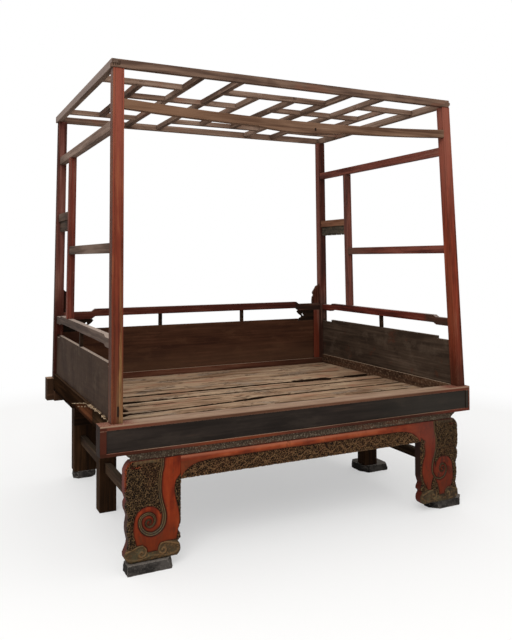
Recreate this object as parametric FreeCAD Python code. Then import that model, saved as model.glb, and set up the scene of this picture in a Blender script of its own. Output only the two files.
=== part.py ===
import FreeCAD, Part
import os
from collections import defaultdict

os.makedirs("parts", exist_ok=True)
Vec = FreeCAD.Vector

# Canopy bed of lacquered wood. x runs along the bed, y from its front to its back, z up from the floor.
# The origin is on the floor, under the middle of the deck frame.

# Deck frame
sill_length = 2070.0
frame_depth = 1487.0
sill_height = 134.0
sill_lip = 72.0
sill_ledge = 30.0
rear_sill_drop = 26.0
rear_sill_inset = 14.0
deck_drop = 58.0
plank_thickness = 25.0
side_sill_width = 45.0
side_sill_height = 100.0
bearer_count = 4
bearer_width = 60.0
bearer_seat = 22.0
field_depth = 5.0
field_border_end = 29.0
field_border_top = 21.0
field_border_bottom = 15.0
border_round = 2.4

# Planks, from the front: share of the deck width that each one takes, and the gap after it
plank_width_shares = (0.165, 0.155, 0.13, 0.095, 0.455)
plank_gap = 5.0
plank_end_gap = 3.0

# Posts
post_size = 52.0
post_height = 1567.0
post_inset_left = 53.0
post_inset_right = 17.0
post_setback = 20.0
side_post_size = 40.0
side_post_from_front = 1036.0
bead_inset = 8.0
bead_groove = 3.0
bead_depth = 1.6

# How far each pair of post tops leans in over the post height
lean_left = 25.0
lean_right = 33.0
lean_front = 65.0
lean_rear = 26.0

# Roof frame and lattice
# How far the roof frame stands out past the outer faces of the post tops
roof_out_left = 9.0
roof_out_right = -5.0
roof_out_front = 5.0
roof_out_rear = 15.0
roof_pin_margin = 3.0
roof_rail_width = 30.0
roof_rail_height = 38.0
bar_width = 30.0
bar_height = 14.0
bar_drop = 9.0
bar_seat = 12.0
column_shares = (0.0, 0.104, 0.226, 0.338, 0.452, 0.569, 0.681, 0.792, 0.901, 1.0)
row_shares = (0.0, 0.204, 0.412, 0.62, 0.828, 1.0)

# Wall rails: place of the lower edge, over the sills or under the roof frame, and own height
side_rail_thickness = 38.0
rail_recess = 10.0
upper_side_rail_under_roof = 269.0
upper_side_rail_height = 44.0
middle_rail_above = 738.0
middle_rail_height = 46.0
middle_rail_thickness = 34.0
short_rail_above = 942.0
short_rail_height = 46.0
skirt_height = 64.0
skirt_thickness = 14.0
skirt_lobes = 5
skirt_lobe_depth = 12.0
front_rail_under_roof = 180.0
front_rail_height = 43.0
front_rail_thickness = 34.0
front_rail_sag = 30.0
front_rail_rise_right = 7.0
# The belly is the deeper part in the middle of the front rail
front_rail_belly = 14.0
front_rail_belly_length = 520.0

# Low walls
panel_thickness = 19.0
panel_height_back = 269.0
panel_height_left = 245.0
panel_height_right = 262.0
panel_end_step = 16.0
panel_end_length_back = 188.0
panel_end_length_left = 75.0
panel_end_length_right = 115.0
panel_groove = 6.0
handrail_above_back = 346.0
handrail_above_right = 337.0
handrail_above_left = 324.0
handrail_height_back = 47.0
handrail_height_side = 44.0
handrail_thickness = 30.0
handrail_drop_back = 16.0
handrail_drop_side = 11.0
handrail_end_length_back = 182.0
handrail_end_length_side = 110.0
handrail_ramp = 22.0
strut_width = 22.0
strut_thickness = 18.0
strut_back_from_right = 698.0
strut_back_from_left = 697.0
strut_left_from_front = 740.0
strut_right_from_front = 698.0
strut_seat = 8.0

# Brackets at the rear posts
bracket_length = 192.0
bracket_thickness = 16.0
bracket_hole = 7.0
ear_height = 150.0
ear_reach = 62.0
ear_thickness = 16.0

# Base
block_height = 45.0
base_leg_height = 442.0
waist_height = 40.0
base_inset_left = 115.0
base_inset_right = 65.0
carved_leg_width = 260.0
carved_leg_thickness = 55.0
carved_setback = 20.0
stub_width = 140.0
stub_thickness = 25.0
stub_rise = 20.0
apron_height = 107.0
apron_thickness = 34.0
apron_recess = 8.0
waist_thickness = 14.0
waist_recess = 12.0
waist_inset = 10.0
middle_leg_width = 92.0
middle_leg_depth = 80.0
# How far the middles of these legs stand inside the outer sides of the carved legs
left_middle_leg_inside = 118.5
right_middle_leg_inside = 76.5
left_rear_leg_inside = 133.5
right_rear_leg_inside = 91.5
left_middle_leg_from_front = 760.0
right_middle_leg_from_front = 700.0
rear_leg_width = 140.0
rear_leg_depth = 82.0
rear_rail_bottom = 330.0
rear_rail_height = 135.0
rear_rail_thickness = 34.0
side_rail_width = 45.0
side_rail_height = 60.0
stretcher_bottom = 213.0
stretcher_height = 52.0
stretcher_width = 32.0

# Loose foot blocks. Each front one: how far it starts inside the leg's outer side, and behind its face
front_block_length = 214.0
front_block_depth = 105.0
left_block_inside = 8.0
left_block_behind = -9.0
right_block_inside = -49.0
right_block_behind = 20.0
middle_block_length = 180.0
middle_block_depth = 170.0
middle_block_margin = 12.0

# Joinery
fit_gap = 0.2
tenon_reach = 30.0
short_reach = 18.0
shoulder_share = 0.22
overrun = 5.0

# Places that follow from the sizes above
frame_front = -frame_depth / 2
frame_back = frame_depth / 2
sill_left = -sill_length / 2
sill_right = sill_length / 2
base_top = block_height + base_leg_height
sill_z = base_top + waist_height
seat_z = sill_z + sill_height
rear_sill_z = sill_z - rear_sill_drop
rear_seat_z = seat_z - rear_sill_drop
deck_z = seat_z - deck_drop
ledge_z = deck_z - plank_thickness
roof_z = seat_z + post_height
roof_top = roof_z + roof_rail_height
post_left = sill_left + post_inset_left
post_right = sill_right - post_inset_right
post_front = frame_front + post_setback
post_back = frame_back - post_setback
post_spread = post_right - post_left
post_depth = post_back - post_front
base_left = sill_left + base_inset_left
base_right = sill_right - base_inset_right
base_middle = (base_left + base_right) / 2
carved_front = frame_front + carved_setback
side_post_front = post_front + side_post_from_front
side_post_back = side_post_front + side_post_size

pieces = {}
mortises = defaultdict(list)


def lean(x, y, z):
    """Carry a point of the upright layout on to the posts, which lean in towards the roof."""
    rise = (z - seat_z) / post_height
    across = (x - post_left) / post_spread
    along = (y - post_front) / post_depth
    shift_x = lean_left * (1 - across) - lean_right * across
    shift_y = lean_front * (1 - along) - lean_rear * along
    return Vec(x + rise * shift_x, y + rise * shift_y, z)


def upright(x, y, z):
    return Vec(x, y, z)


def block(box, place=lean):
    """A six-sided solid: box is (x0, x1, y0, y1, z0, z1), and place moves each corner."""
    x0, x1, y0, y1, z0, z1 = box
    ring = ((x0, y0), (x1, y0), (x1, y1), (x0, y1))
    corner = [place(x, y, z) for z in (z0, z1) for x, y in ring]
    sides = ((3, 2, 1, 0), (4, 5, 6, 7), (0, 1, 5, 4), (1, 2, 6, 5), (2, 3, 7, 6), (3, 0, 4, 7))
    faces = [Part.Face(Part.makePolygon([corner[i] for i in side + side[:1]])) for side in sides]
    return Part.Solid(Part.Shell(faces))


def grown(box, gap):
    return tuple(v + (gap if i % 2 else -gap) for i, v in enumerate(box))


def inset_across(box, axis, share):
    """The box, narrowed on the two axes across the given one by a share of its own size."""
    low_high = list(box)
    for other in range(3):
        if other != axis:
            low, high = box[2 * other], box[2 * other + 1]
            cut = share * (high - low)
            low_high[2 * other], low_high[2 * other + 1] = low + cut, high - cut
    return low_high


def house(host, box, place=lean):
    """Cut room for box, with the fit gap all round, in the host piece."""
    mortises[host].append(block(grown(box, fit_gap), place))


def tongue(box, axis, end, reach, share=shoulder_share):
    """The tenon that leaves one end of a rail: end 0 is its low end along the axis, 1 its high end."""
    tip = inset_across(box, axis, share)
    face = box[2 * axis + end]
    tip[2 * axis] = face - reach if end == 0 else face
    tip[2 * axis + 1] = face if end == 0 else face + reach
    return tuple(tip)


def tenoned(name, box, axis, hosts, reach=tenon_reach, place=lean, share=shoulder_share):
    """A rail that fills box, with a tenon into the host at each end of the axis. None leaves an end plain."""
    shape = block(box, place)
    for end, host in enumerate(hosts):
        if host:
            tip = tongue(box, axis, end, reach, share)
            house(host, tip, place)
            shape = shape.fuse(block(tip, place))
    pieces[name] = shape.removeSplitter()
    return pieces[name]


def flat_outline(start, steps, to_point):
    """A closed face from start: each step is an end point, or a middle and an end point for an arc."""
    edges = []
    here = start
    for step in steps:
        end = step[-1]
        if len(step) == 1:
            edges.append(Part.makeLine(to_point(*here), to_point(*end)))
        else:
            edges.append(Part.Arc(to_point(*here), to_point(*step[0]), to_point(*end)).toShape())
        here = end
    if (to_point(*here) - to_point(*start)).Length > fit_gap:
        edges.append(Part.makeLine(to_point(*here), to_point(*start)))
    return Part.Face(Part.Wire(edges))


def mirrored(shape, x_middle):
    return shape.mirror(Vec(x_middle, 0, 0), Vec(1, 0, 0))


# Sills, bearers and planks

def sunk_field(x0, x1, z0, z1, y_face):
    """The sunk field of the front sill's face, with rounded edges on its border."""
    box = (x0, x1, y_face - overrun, y_face + field_depth, z0, z1)
    return block(box, upright)


def long_sill(name, outer_y, inward, low, inset):
    """A front or rear sill: a full-height lip outside, and a lower ledge inside that holds the bearers."""
    lip_y = outer_y + inward * sill_lip
    ledge_y = lip_y + inward * sill_ledge
    lip_low, lip_high = sorted((outer_y, lip_y))
    ledge_low, ledge_high = sorted((lip_y, ledge_y))
    lip = block((sill_left + inset, sill_right - inset, lip_low, lip_high, low, low + sill_height), upright)
    ledge = block((post_left, post_right, ledge_low, ledge_high, low, ledge_z), upright)
    pieces[name] = lip.fuse(ledge).removeSplitter()


def round_field_border(shape, y_face):
    """Round the front edges of the border that runs round the sunk field."""
    edges = [e for e in shape.Edges if all(abs(v.Y - y_face) < fit_gap for v in e.Vertexes)]
    return shape.makeFillet(border_round, edges)


def make_sills():
    long_sill("front_sill", frame_front, 1, sill_z, 0.0)
    long_sill("rear_sill", frame_back, -1, rear_sill_z, rear_sill_inset)
    field = sunk_field(sill_left + field_border_end, sill_right - field_border_end,
                       sill_z + field_border_bottom, seat_z - field_border_top, frame_front)
    pieces["front_sill"] = round_field_border(pieces["front_sill"].cut(field), frame_front)
    low_y = frame_front + sill_lip
    high_y = frame_back - sill_lip
    low_z = seat_z - side_sill_height
    for name, x0 in (("left_sill", post_left), ("right_sill", post_right - side_sill_width)):
        box = (x0, x0 + side_sill_width, low_y, high_y, low_z, seat_z)
        for host in ("front_sill", "rear_sill"):
            house(host, box, upright)
        shape = tenoned(name, box, 1, ("front_sill", None), short_reach, upright)
        tip = tongue(box[:5] + (rear_seat_z,), 1, 1, short_reach)
        house("rear_sill", tip, upright)
        pieces[name] = shape.fuse(block(tip, upright)).removeSplitter()


def bearer_places():
    """Middle x of each bearer: the outer two lie over the base's side rails, the others between them."""
    left, right = middle_leg_x(-1), middle_leg_x(1)
    return [left + (right - left) * i / (bearer_count - 1) for i in range(bearer_count)]


def make_bearers():
    low_y = frame_front + sill_lip + sill_ledge
    high_y = frame_back - sill_lip - sill_ledge
    solids = []
    for x in bearer_places():
        box = (x - bearer_width / 2, x + bearer_width / 2,
               low_y - bearer_seat, high_y + bearer_seat, sill_z, ledge_z)
        house("front_sill", box, upright)
        house("rear_sill", box, upright)
        solids.append(block(box, upright))
    pieces["deck_bearers"] = Part.makeCompound(solids)


def make_planks():
    x0 = post_left + side_sill_width + plank_end_gap
    x1 = post_right - side_sill_width - plank_end_gap
    y = frame_front + sill_lip + fit_gap
    room = frame_back - sill_lip - fit_gap - y - plank_gap * (len(plank_width_shares) - 1)
    for number, share in enumerate(plank_width_shares, 1):
        width = room * share
        box = (x0, x1, y, y + width, ledge_z, deck_z)
        pieces["deck_plank_%d" % number] = block(box, upright)
        y += width + plank_gap


# Posts

def bead_cuts(box):
    """Shallow grooves that leave a bead along every long edge of a post."""
    x0, x1, y0, y1, z0, z1 = box
    z0, z1 = z0 - overrun, z1 + overrun
    cuts = []
    for low in (x0 + bead_inset, x1 - bead_inset - bead_groove):
        high = low + bead_groove
        cuts.append((low, high, y0 - overrun, y0 + bead_depth, z0, z1))
        cuts.append((low, high, y1 - bead_depth, y1 + overrun, z0, z1))
    for low in (y0 + bead_inset, y1 - bead_inset - bead_groove):
        high = low + bead_groove
        cuts.append((x0 - overrun, x0 + bead_depth, low, high, z0, z1))
        cuts.append((x1 - bead_depth, x1 + overrun, low, high, z0, z1))
    return cuts


def corner_name(x_side, y_side):
    return "%s_%s" % ("front" if y_side < 0 else "rear", "left" if x_side < 0 else "right")


def make_corner_post(x_side, y_side):
    name = corner_name(x_side, y_side) + "_post"
    sill = "front_sill" if y_side < 0 else "rear_sill"
    x0 = post_left if x_side < 0 else post_right - post_size
    y0 = post_front if y_side < 0 else post_back - post_size
    box = (x0, x0 + post_size, y0, y0 + post_size, seat_z if y_side < 0 else rear_seat_z, roof_z)
    tenoned(name, box, 2, (sill, None))
    for cut in bead_cuts(box):
        mortises[name].append(block(cut))
    corner = lean(post_left if x_side < 0 else post_right, post_front if y_side < 0 else post_back, roof_z)
    pin = (pin_span(corner.x, x_side, roof_left() if x_side < 0 else roof_right())
           + pin_span(corner.y, y_side, roof_front() if y_side < 0 else roof_back())
           + (roof_z, roof_z + short_reach))
    for rail in roof_rails_at(x_side, y_side):
        house(rail, pin, upright)
    pieces[name] = pieces[name].fuse(block(pin, upright)).removeSplitter()


def pin_span(post_face, side, roof_face):
    """Where a pin on the post top fits both on the post and inside the roof rail over it."""
    if side < 0:
        low, high = max(post_face, roof_face), min(post_face + post_size, roof_face + roof_rail_width)
    else:
        low, high = max(post_face - post_size, roof_face - roof_rail_width), min(post_face, roof_face)
    return low + roof_pin_margin, high - roof_pin_margin


def make_side_post(x_side):
    name = side_word(x_side) + "_side_post"
    low = seat_z + HANDRAIL_ABOVE[side_word(x_side)] + handrail_height_side
    high = roof_z - upper_side_rail_under_roof
    x0 = post_left if x_side < 0 else post_right - post_size
    inset = (post_size - side_post_size) / 2
    box = (x0 + inset, x0 + inset + side_post_size, side_post_front, side_post_back, low, high)
    hosts = (side_word(x_side) + "_handrail", side_word(x_side) + "_upper_rail")
    tenoned(name, box, 2, hosts, short_reach)
    for cut in bead_cuts(box):
        mortises[name].append(block(cut))


def side_word(x_side):
    return "left" if x_side < 0 else "right"


# Roof

def roof_left():
    return post_left + lean_left - roof_out_left


def roof_right():
    return post_right - lean_right + roof_out_right


def roof_front():
    return post_front + lean_front - roof_out_front


def roof_back():
    return post_back - lean_rear + roof_out_rear


def roof_rails_at(x_side, y_side):
    return ("roof_%s_rail" % ("front" if y_side < 0 else "rear"), "roof_%s_rail" % side_word(x_side))


def make_roof_frame():
    """Four rails halved over each other at the corners: the long ones keep their lower half there."""
    x0, x1, y0, y1 = roof_left(), roof_right(), roof_front(), roof_back()
    middle_z = roof_z + roof_rail_height / 2
    wide = roof_rail_width
    pieces["roof_front_rail"] = block((x0, x1, y0, y0 + wide, roof_z, roof_top), upright)
    pieces["roof_rear_rail"] = block((x0, x1, y1 - wide, y1, roof_z, roof_top), upright)
    pieces["roof_left_rail"] = block((x0, x0 + wide, y0, y1, roof_z, roof_top), upright)
    pieces["roof_right_rail"] = block((x1 - wide, x1, y0, y1, roof_z, roof_top), upright)
    for y_low in (y0, y1 - wide):
        for x_low in (x0, x1 - wide):
            upper = (x_low, x_low + wide, y_low, y_low + wide, middle_z, roof_top + overrun)
            lower = (x_low, x_low + wide, y_low, y_low + wide, roof_z - overrun, middle_z)
            long_rail = "roof_front_rail" if y_low == y0 else "roof_rear_rail"
            side_rail = "roof_left_rail" if x_low == x0 else "roof_right_rail"
            mortises[long_rail].append(block(grown(upper, fit_gap), upright))
            mortises[side_rail].append(block(grown(lower, 0.0), upright))


def column_x(index):
    """Middle x of a bar that runs along the depth; the first and last index are the frame's faces."""
    low, high = roof_left() + roof_rail_width, roof_right() - roof_rail_width
    return low + (high - low) * column_shares[index]


def row_y(index):
    """Middle y of a bar that runs along the length; the first and last index are the frame's faces."""
    low, high = roof_front() + roof_rail_width, roof_back() - roof_rail_width
    return low + (high - low) * row_shares[index]


def bar_span(start, end, place, last):
    """Ends of a bar: seated in the roof rail at the frame, or level with the far side of the bar it meets."""
    low = place(start) - (bar_seat if start == 0 else bar_width / 2)
    high = place(end) + (bar_seat if end == last else bar_width / 2)
    return low, high


LAST_COLUMN = len(column_shares) - 1
LAST_ROW = len(row_shares) - 1


def lattice_bars():
    """Each lattice bar of the roof as its own place number and the places where it starts and ends."""
    return {
        "roof_long_bars": ((2, 0, LAST_ROW), (3, 0, LAST_ROW), (6, 0, LAST_ROW), (7, 0, LAST_ROW)),
        "roof_short_bars": ((1, 1, 4), (4, 1, 4), (5, 1, 4), (8, 1, 4)),
        "roof_outer_row_bars": ((1, 0, 2), (1, 7, LAST_COLUMN), (4, 0, 2), (4, 7, LAST_COLUMN)),
        "roof_centre_row_bars": ((1, 3, 6), (4, 3, 6)),
        "roof_middle_row_bars": ((2, 1, 4), (2, 5, 8), (3, 1, 4), (3, 5, 8)),
    }


DEPTH_BAR_NODES = ("roof_long_bars", "roof_short_bars")
ROW_BAR_NODES = ("roof_outer_row_bars", "roof_centre_row_bars", "roof_middle_row_bars")


def bars_of(nodes):
    return [bar for node in nodes for bar in lattice_bars()[node]]


def bar_low():
    return roof_top - bar_drop - bar_height


def depth_bar(column, start, end):
    """A bar along the depth. Its lower half is cut away where a row bar crosses or meets it."""
    x = column_x(column)
    y0, y1 = bar_span(start, end, row_y, LAST_ROW)
    z0 = bar_low()
    shape = block((x - bar_width / 2, x + bar_width / 2, y0, y1, z0, z0 + bar_height), upright)
    for row, row_start, row_end in bars_of(ROW_BAR_NODES):
        if row_start <= column <= row_end and start <= row <= end:
            notch = (x - bar_width, x + bar_width, row_y(row) - bar_width / 2, row_y(row) + bar_width / 2,
                     z0 - overrun, z0 + bar_height / 2)
            shape = shape.cut(block(grown(notch, fit_gap), upright))
    return shape, (x - bar_width / 2, x + bar_width / 2, y0, y1, z0, z0 + bar_height)


def row_bar(row, start, end):
    """A bar along the length. Its upper half is cut away where a depth bar crosses or meets it."""
    y = row_y(row)
    x0, x1 = bar_span(start, end, column_x, LAST_COLUMN)
    z0 = bar_low()
    shape = block((x0, x1, y - bar_width / 2, y + bar_width / 2, z0, z0 + bar_height), upright)
    for column, bar_start, bar_end in bars_of(DEPTH_BAR_NODES):
        if bar_start <= row <= bar_end and start <= column <= end:
            x = column_x(column)
            notch = (x - bar_width / 2, x + bar_width / 2, y - bar_width, y + bar_width,
                     z0 + bar_height / 2, z0 + bar_height + overrun)
            shape = shape.cut(block(grown(notch, fit_gap), upright))
    return shape, (x0, x1, y - bar_width / 2, y + bar_width / 2, z0, z0 + bar_height)


def make_lattice():
    """The bars of the roof, seated in its frame and halved where they cross."""
    for name, bars in lattice_bars().items():
        along_depth = name in DEPTH_BAR_NODES
        ends = ("front", "rear") if along_depth else ("left", "right")
        solids = []
        for bar in bars:
            shape, box = (depth_bar if along_depth else row_bar)(*bar)
            solids.append(shape)
            for end in ends:
                house("roof_%s_rail" % end, box, upright)
        pieces[name] = Part.makeCompound(solids)


# Wall rails

def post_inner_x(x_side):
    return post_left + post_size if x_side < 0 else post_right - post_size


def side_span(x_side, thickness, recess):
    """x range of a side wall piece, set back from the posts' outer faces."""
    if x_side < 0:
        return post_left + recess, post_left + recess + thickness
    return post_right - recess - thickness, post_right - recess


def make_side_rails(x_side):
    word = side_word(x_side)
    front_y, back_y = post_front + post_size, post_back - post_size
    front_post, rear_post = "front_%s_post" % word, "rear_%s_post" % word
    x0, x1 = side_span(x_side, side_rail_thickness, rail_recess)
    low = roof_z - upper_side_rail_under_roof
    tenoned(word + "_upper_rail", (x0, x1, front_y, back_y, low, low + upper_side_rail_height), 1,
            (front_post, rear_post))
    x0, x1 = side_span(x_side, middle_rail_thickness, rail_recess)
    low = seat_z + middle_rail_above
    tenoned(word + "_middle_rail", (x0, x1, front_y, side_post_front, low, low + middle_rail_height), 1,
            (front_post, word + "_side_post"), short_reach)
    low = seat_z + short_rail_above
    tenoned(word + "_short_rail", (x0, x1, side_post_back, back_y, low, low + short_rail_height), 1,
            (word + "_side_post", rear_post), short_reach)
    make_skirt(x_side, side_post_back, back_y, low)


def make_skirt(x_side, y0, y1, top):
    """The small carved board under a short rail, with lobes along its lower edge."""
    x0, x1 = side_span(x_side, skirt_thickness, rail_recess + (middle_rail_thickness - skirt_thickness) / 2)
    low = top - skirt_height
    board = block((x0, x1, y0, y1, low, top))
    pitch = (y1 - y0) / skirt_lobes
    for i in range(skirt_lobes + 1):
        centre = lean(x0, y0 + pitch * i, low)
        notch = Part.makeCylinder(skirt_lobe_depth, skirt_thickness + 2 * overrun + lean_left,
                                  Vec(centre.x - overrun, centre.y, low), Vec(1, 0, 0))
        board = board.cut(notch)
    tongue_box = (x0 + skirt_thickness / 4, x1 - skirt_thickness / 4, y0 + overrun, y1 - overrun,
                  top, top + overrun)
    house(side_word(x_side) + "_short_rail", tongue_box)
    pieces[side_word(x_side) + "_skirt"] = board.fuse(block(tongue_box)).removeSplitter()


def make_front_rail():
    """The upper front rail, which sags between the front posts and is deeper in the middle."""
    x0, x1 = post_left + post_size, post_right - post_size
    low = roof_z - front_rail_under_roof
    high = low + front_rail_height
    middle, half = (x0 + x1) / 2, (x1 - x0) / 2
    y0 = lean(middle, post_front, low).y

    def sagged(x, z):
        rise = front_rail_rise_right * (x - x0) / (x1 - x0)
        return x, z + rise - front_rail_sag * (1 - ((x - middle) / half) ** 2)
    belly_left = middle - front_rail_belly_length / 2
    belly_right = middle + front_rail_belly_length / 2
    face = flat_outline(sagged(x0, low), ((sagged((x0 + belly_left) / 2, low), sagged(belly_left, low)),
                                          (sagged(middle, low - front_rail_belly), sagged(belly_right, low)),
                                          (sagged((belly_right + x1) / 2, low), sagged(x1, low)),
                                          (sagged(x1, high),),
                                          (sagged(middle, high), sagged(x0, high))),
                        lambda x, z: Vec(x, y0, z))
    bowed = face.extrude(Vec(0, front_rail_thickness, 0))
    between_posts = block((x0, x1, post_front - post_size, post_front + post_size * 2,
                           low - front_rail_sag - front_rail_belly - overrun, high + front_rail_sag))
    shape = bowed.common(between_posts)
    box = (x0, x1, post_front, post_front + front_rail_thickness, low, high)
    for end, host in enumerate(("front_left_post", "front_right_post")):
        tip = tongue(box, 0, end, tenon_reach)
        house(host, tip)
        shape = shape.fuse(block(tip))
    pieces["front_upper_rail"] = shape.removeSplitter()


# Low walls

def wall_box(side, thickness):
    """Plan of a low wall piece centred in the posts: x0, x1, y0, y1 and the axis along the wall."""
    inset = (post_size - thickness) / 2
    if side == "back":
        back = post_back - inset
        return (post_left + post_size, post_right - post_size, back - thickness, back, 0)
    x0 = post_left + inset if side == "left" else post_right - inset - thickness
    return (x0, x0 + thickness, post_front + post_size, post_back - post_size, 1)


def wall_posts(side):
    if side == "back":
        return "rear_left_post", "rear_right_post"
    return "front_%s_post" % side, "rear_%s_post" % side


def step_ends(shape, plan, top, drop, length):
    """Lower the top edge of a wall piece near both of its ends."""
    x0, x1, y0, y1, axis = plan
    for end in (0, 1):
        cut = [x0 - overrun, x1 + overrun, y0 - overrun, y1 + overrun, top - drop, top + overrun]
        if end == 0:
            cut[2 * axis + 1] = plan[2 * axis] + length
        else:
            cut[2 * axis] = plan[2 * axis + 1] - length
        shape = shape.cut(block(tuple(cut)))
    return shape


SILL_UNDER = {"back": "rear_sill", "left": "left_sill", "right": "right_sill"}
PANEL_HEIGHT = {"back": panel_height_back, "left": panel_height_left, "right": panel_height_right}
PANEL_END = {"back": panel_end_length_back, "left": panel_end_length_left, "right": panel_end_length_right}
STRUT_PLACES = {"back": (post_left + strut_back_from_left, post_right - strut_back_from_right),
                "left": (post_front + strut_left_from_front,),
                "right": (post_front + strut_right_from_front,)}
HANDRAIL_ABOVE = {"back": handrail_above_back, "left": handrail_above_left, "right": handrail_above_right}
HANDRAIL_HEIGHT = {"back": handrail_height_back, "left": handrail_height_side, "right": handrail_height_side}
HANDRAIL_DROP = {"back": handrail_drop_back, "left": handrail_drop_side, "right": handrail_drop_side}
HANDRAIL_END = {"back": handrail_end_length_back, "left": handrail_end_length_side,
                "right": handrail_end_length_side}


def make_panel(side):
    """A low wall's panel: held in grooves of the posts and of the sill under it."""
    x0, x1, y0, y1, axis = wall_box(side, panel_thickness)
    foot_z = rear_seat_z if side == "back" else seat_z
    top = seat_z + PANEL_HEIGHT[side]
    name = side + "_panel"
    tenoned(name, (x0, x1, y0, y1, foot_z, top), axis, wall_posts(side), panel_groove, share=0.0)
    stepped = step_ends(pieces[name], (x0, x1, y0, y1, axis), top, panel_end_step, PANEL_END[side])
    foot = (x0 + panel_thickness / 4, x1 - panel_thickness / 4, y0, y1) if axis == 1 else \
        (x0, x1, y0 + panel_thickness / 4, y1 - panel_thickness / 4)
    foot_box = foot + (foot_z - panel_groove, foot_z)
    house(SILL_UNDER[side], foot_box)
    pieces[name] = stepped.fuse(block(foot_box)).removeSplitter()


def make_handrail(side):
    """The rail over a low wall: both ends step down by a short ramp and are tenoned into the posts."""
    plan = wall_box(side, handrail_thickness)
    axis = plan[4]
    drop = HANDRAIL_DROP[side]
    low = seat_z + HANDRAIL_ABOVE[side]
    high = low + HANDRAIL_HEIGHT[side]

    def stretch(start, stop, z0, z1):
        box = list(plan[:4]) + [z0, z1]
        box[2 * axis], box[2 * axis + 1] = sorted((start, stop))
        return tuple(box)
    solids = []
    tops = []
    for end, host in enumerate(wall_posts(side)):
        outer = plan[2 * axis + end]
        inward = 1 if end == 0 else -1
        step = outer + inward * HANDRAIL_END[side]
        top = step + inward * handrail_ramp
        tops.append(top)

        def ramped(x, y, z, step=step, top=top):
            share = ((x, y)[axis] - step) / (top - step)
            return lean(x, y, z - drop * (1 - share))
        end_box = stretch(outer, step, low - drop, high - drop)
        tip = tongue(end_box, axis, end, short_reach)
        house(host, tip)
        solids += [block(end_box), block(tip), block(stretch(step, top, low, high), ramped)]
    middle = block(stretch(tops[0], tops[1], low, high))
    pieces[side + "_handrail"] = middle.fuse(solids).removeSplitter()


def make_struts():
    """The small uprights between panels and handrails: two at the back and one on each side."""
    solids = []
    for side in ("back", "left", "right"):
        for place in STRUT_PLACES[side]:
            solids.append(strut(side, place, seat_z + PANEL_HEIGHT[side], seat_z + HANDRAIL_ABOVE[side]))
    pieces["handrail_struts"] = Part.makeCompound(solids)


def strut(side, middle, low, high):
    """A small upright between a panel and its handrail, let into both."""
    x0, x1, y0, y1, axis = wall_box(side, strut_thickness)
    if side == "back":
        plan = (middle - strut_width / 2, middle + strut_width / 2, y0, y1)
    else:
        plan = (x0, x1, middle - strut_width / 2, middle + strut_width / 2)
    shape = block(plan + (low, high))
    for host, z0, z1 in ((side + "_panel", low - strut_seat, low),
                         (side + "_handrail", high, high + strut_seat)):
        tip = tuple(inset_across(plan + (z0, z1), 2, shoulder_share))
        house(host, tip)
        shape = shape.fuse(block(tip))
    return shape.removeSplitter()


# Outline of a bracket: shares of its length from the post and of its height below the handrail
BRACKET_OUTLINE_SHARES = (
    ((0.93, 0.0),),
    ((0.975, 0.05), (1.0, 0.12)),
    ((0.93, 0.33), (0.83, 0.5)),
    ((0.81, 0.6), (0.85, 0.7)),
    ((0.92, 0.83), (0.93, 1.0)),
    ((0.0, 1.0),),
)
BRACKET_HOLE_SHARES = ((0.77, 0.36), (0.735, 0.5))


def make_bracket(x_side):
    """The corner bracket between back handrail, rear post and back panel, with a small pierced hole."""
    top = seat_z + handrail_above_back - handrail_drop_back
    height = top - (seat_z + panel_height_back - panel_end_step)
    y0 = lean(0, post_back - (post_size + bracket_thickness) / 2, top).y

    def at(share_out, share_down):
        z = top - height * share_down
        return lean(post_inner_x(x_side), post_back, z).x - x_side * bracket_length * share_out, z
    outline = [[at(*point) for point in step] for step in BRACKET_OUTLINE_SHARES]
    plate = flat_outline(at(0, 0), outline, lambda x, z: Vec(x, y0, z)).extrude(Vec(0, bracket_thickness, 0))
    for shares in BRACKET_HOLE_SHARES:
        hole_x, hole_z = at(*shares)
        plate = plate.cut(Part.makeCylinder(bracket_hole, bracket_thickness + 2 * overrun,
                                            Vec(hole_x, y0 - overrun, hole_z), Vec(0, 1, 0)))
    pieces["back_%s_bracket" % side_word(x_side)] = plate


# Outline of an ear: shares of its reach from the post and of its height
EAR_OUTLINE_SHARES = (
    ((1.0, 0.0),),
    ((1.0, 0.18), (0.94, 0.34)),
    ((0.83, 0.37), (0.82, 0.44)),
    ((0.9, 0.5), (0.87, 0.58)),
    ((0.68, 0.68), (0.42, 0.85)),
    ((0.17, 0.9), (0.0, 1.0)),
)


def make_ear(x_side):
    """The small scalloped ear that stands on the back handrail against a rear post."""
    low = seat_z + handrail_above_back + handrail_height_back - handrail_drop_back
    y0 = lean(0, post_back - (post_size + ear_thickness) / 2, low).y

    def at(share_out, share_up):
        z = low + ear_height * share_up
        return lean(post_inner_x(x_side), post_back, z).x - x_side * ear_reach * share_out, z
    outline = [[at(*point) for point in step] for step in EAR_OUTLINE_SHARES]
    face = flat_outline(at(0, 0), outline, lambda x, z: Vec(x, y0, z))
    pieces["back_%s_ear" % side_word(x_side)] = face.extrude(Vec(0, ear_thickness, 0))


# Base

def middle_leg_x(x_side):
    return base_left + left_middle_leg_inside if x_side < 0 else base_right - right_middle_leg_inside


def rear_leg_x(x_side):
    return base_left + left_rear_leg_inside if x_side < 0 else base_right - right_rear_leg_inside


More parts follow.
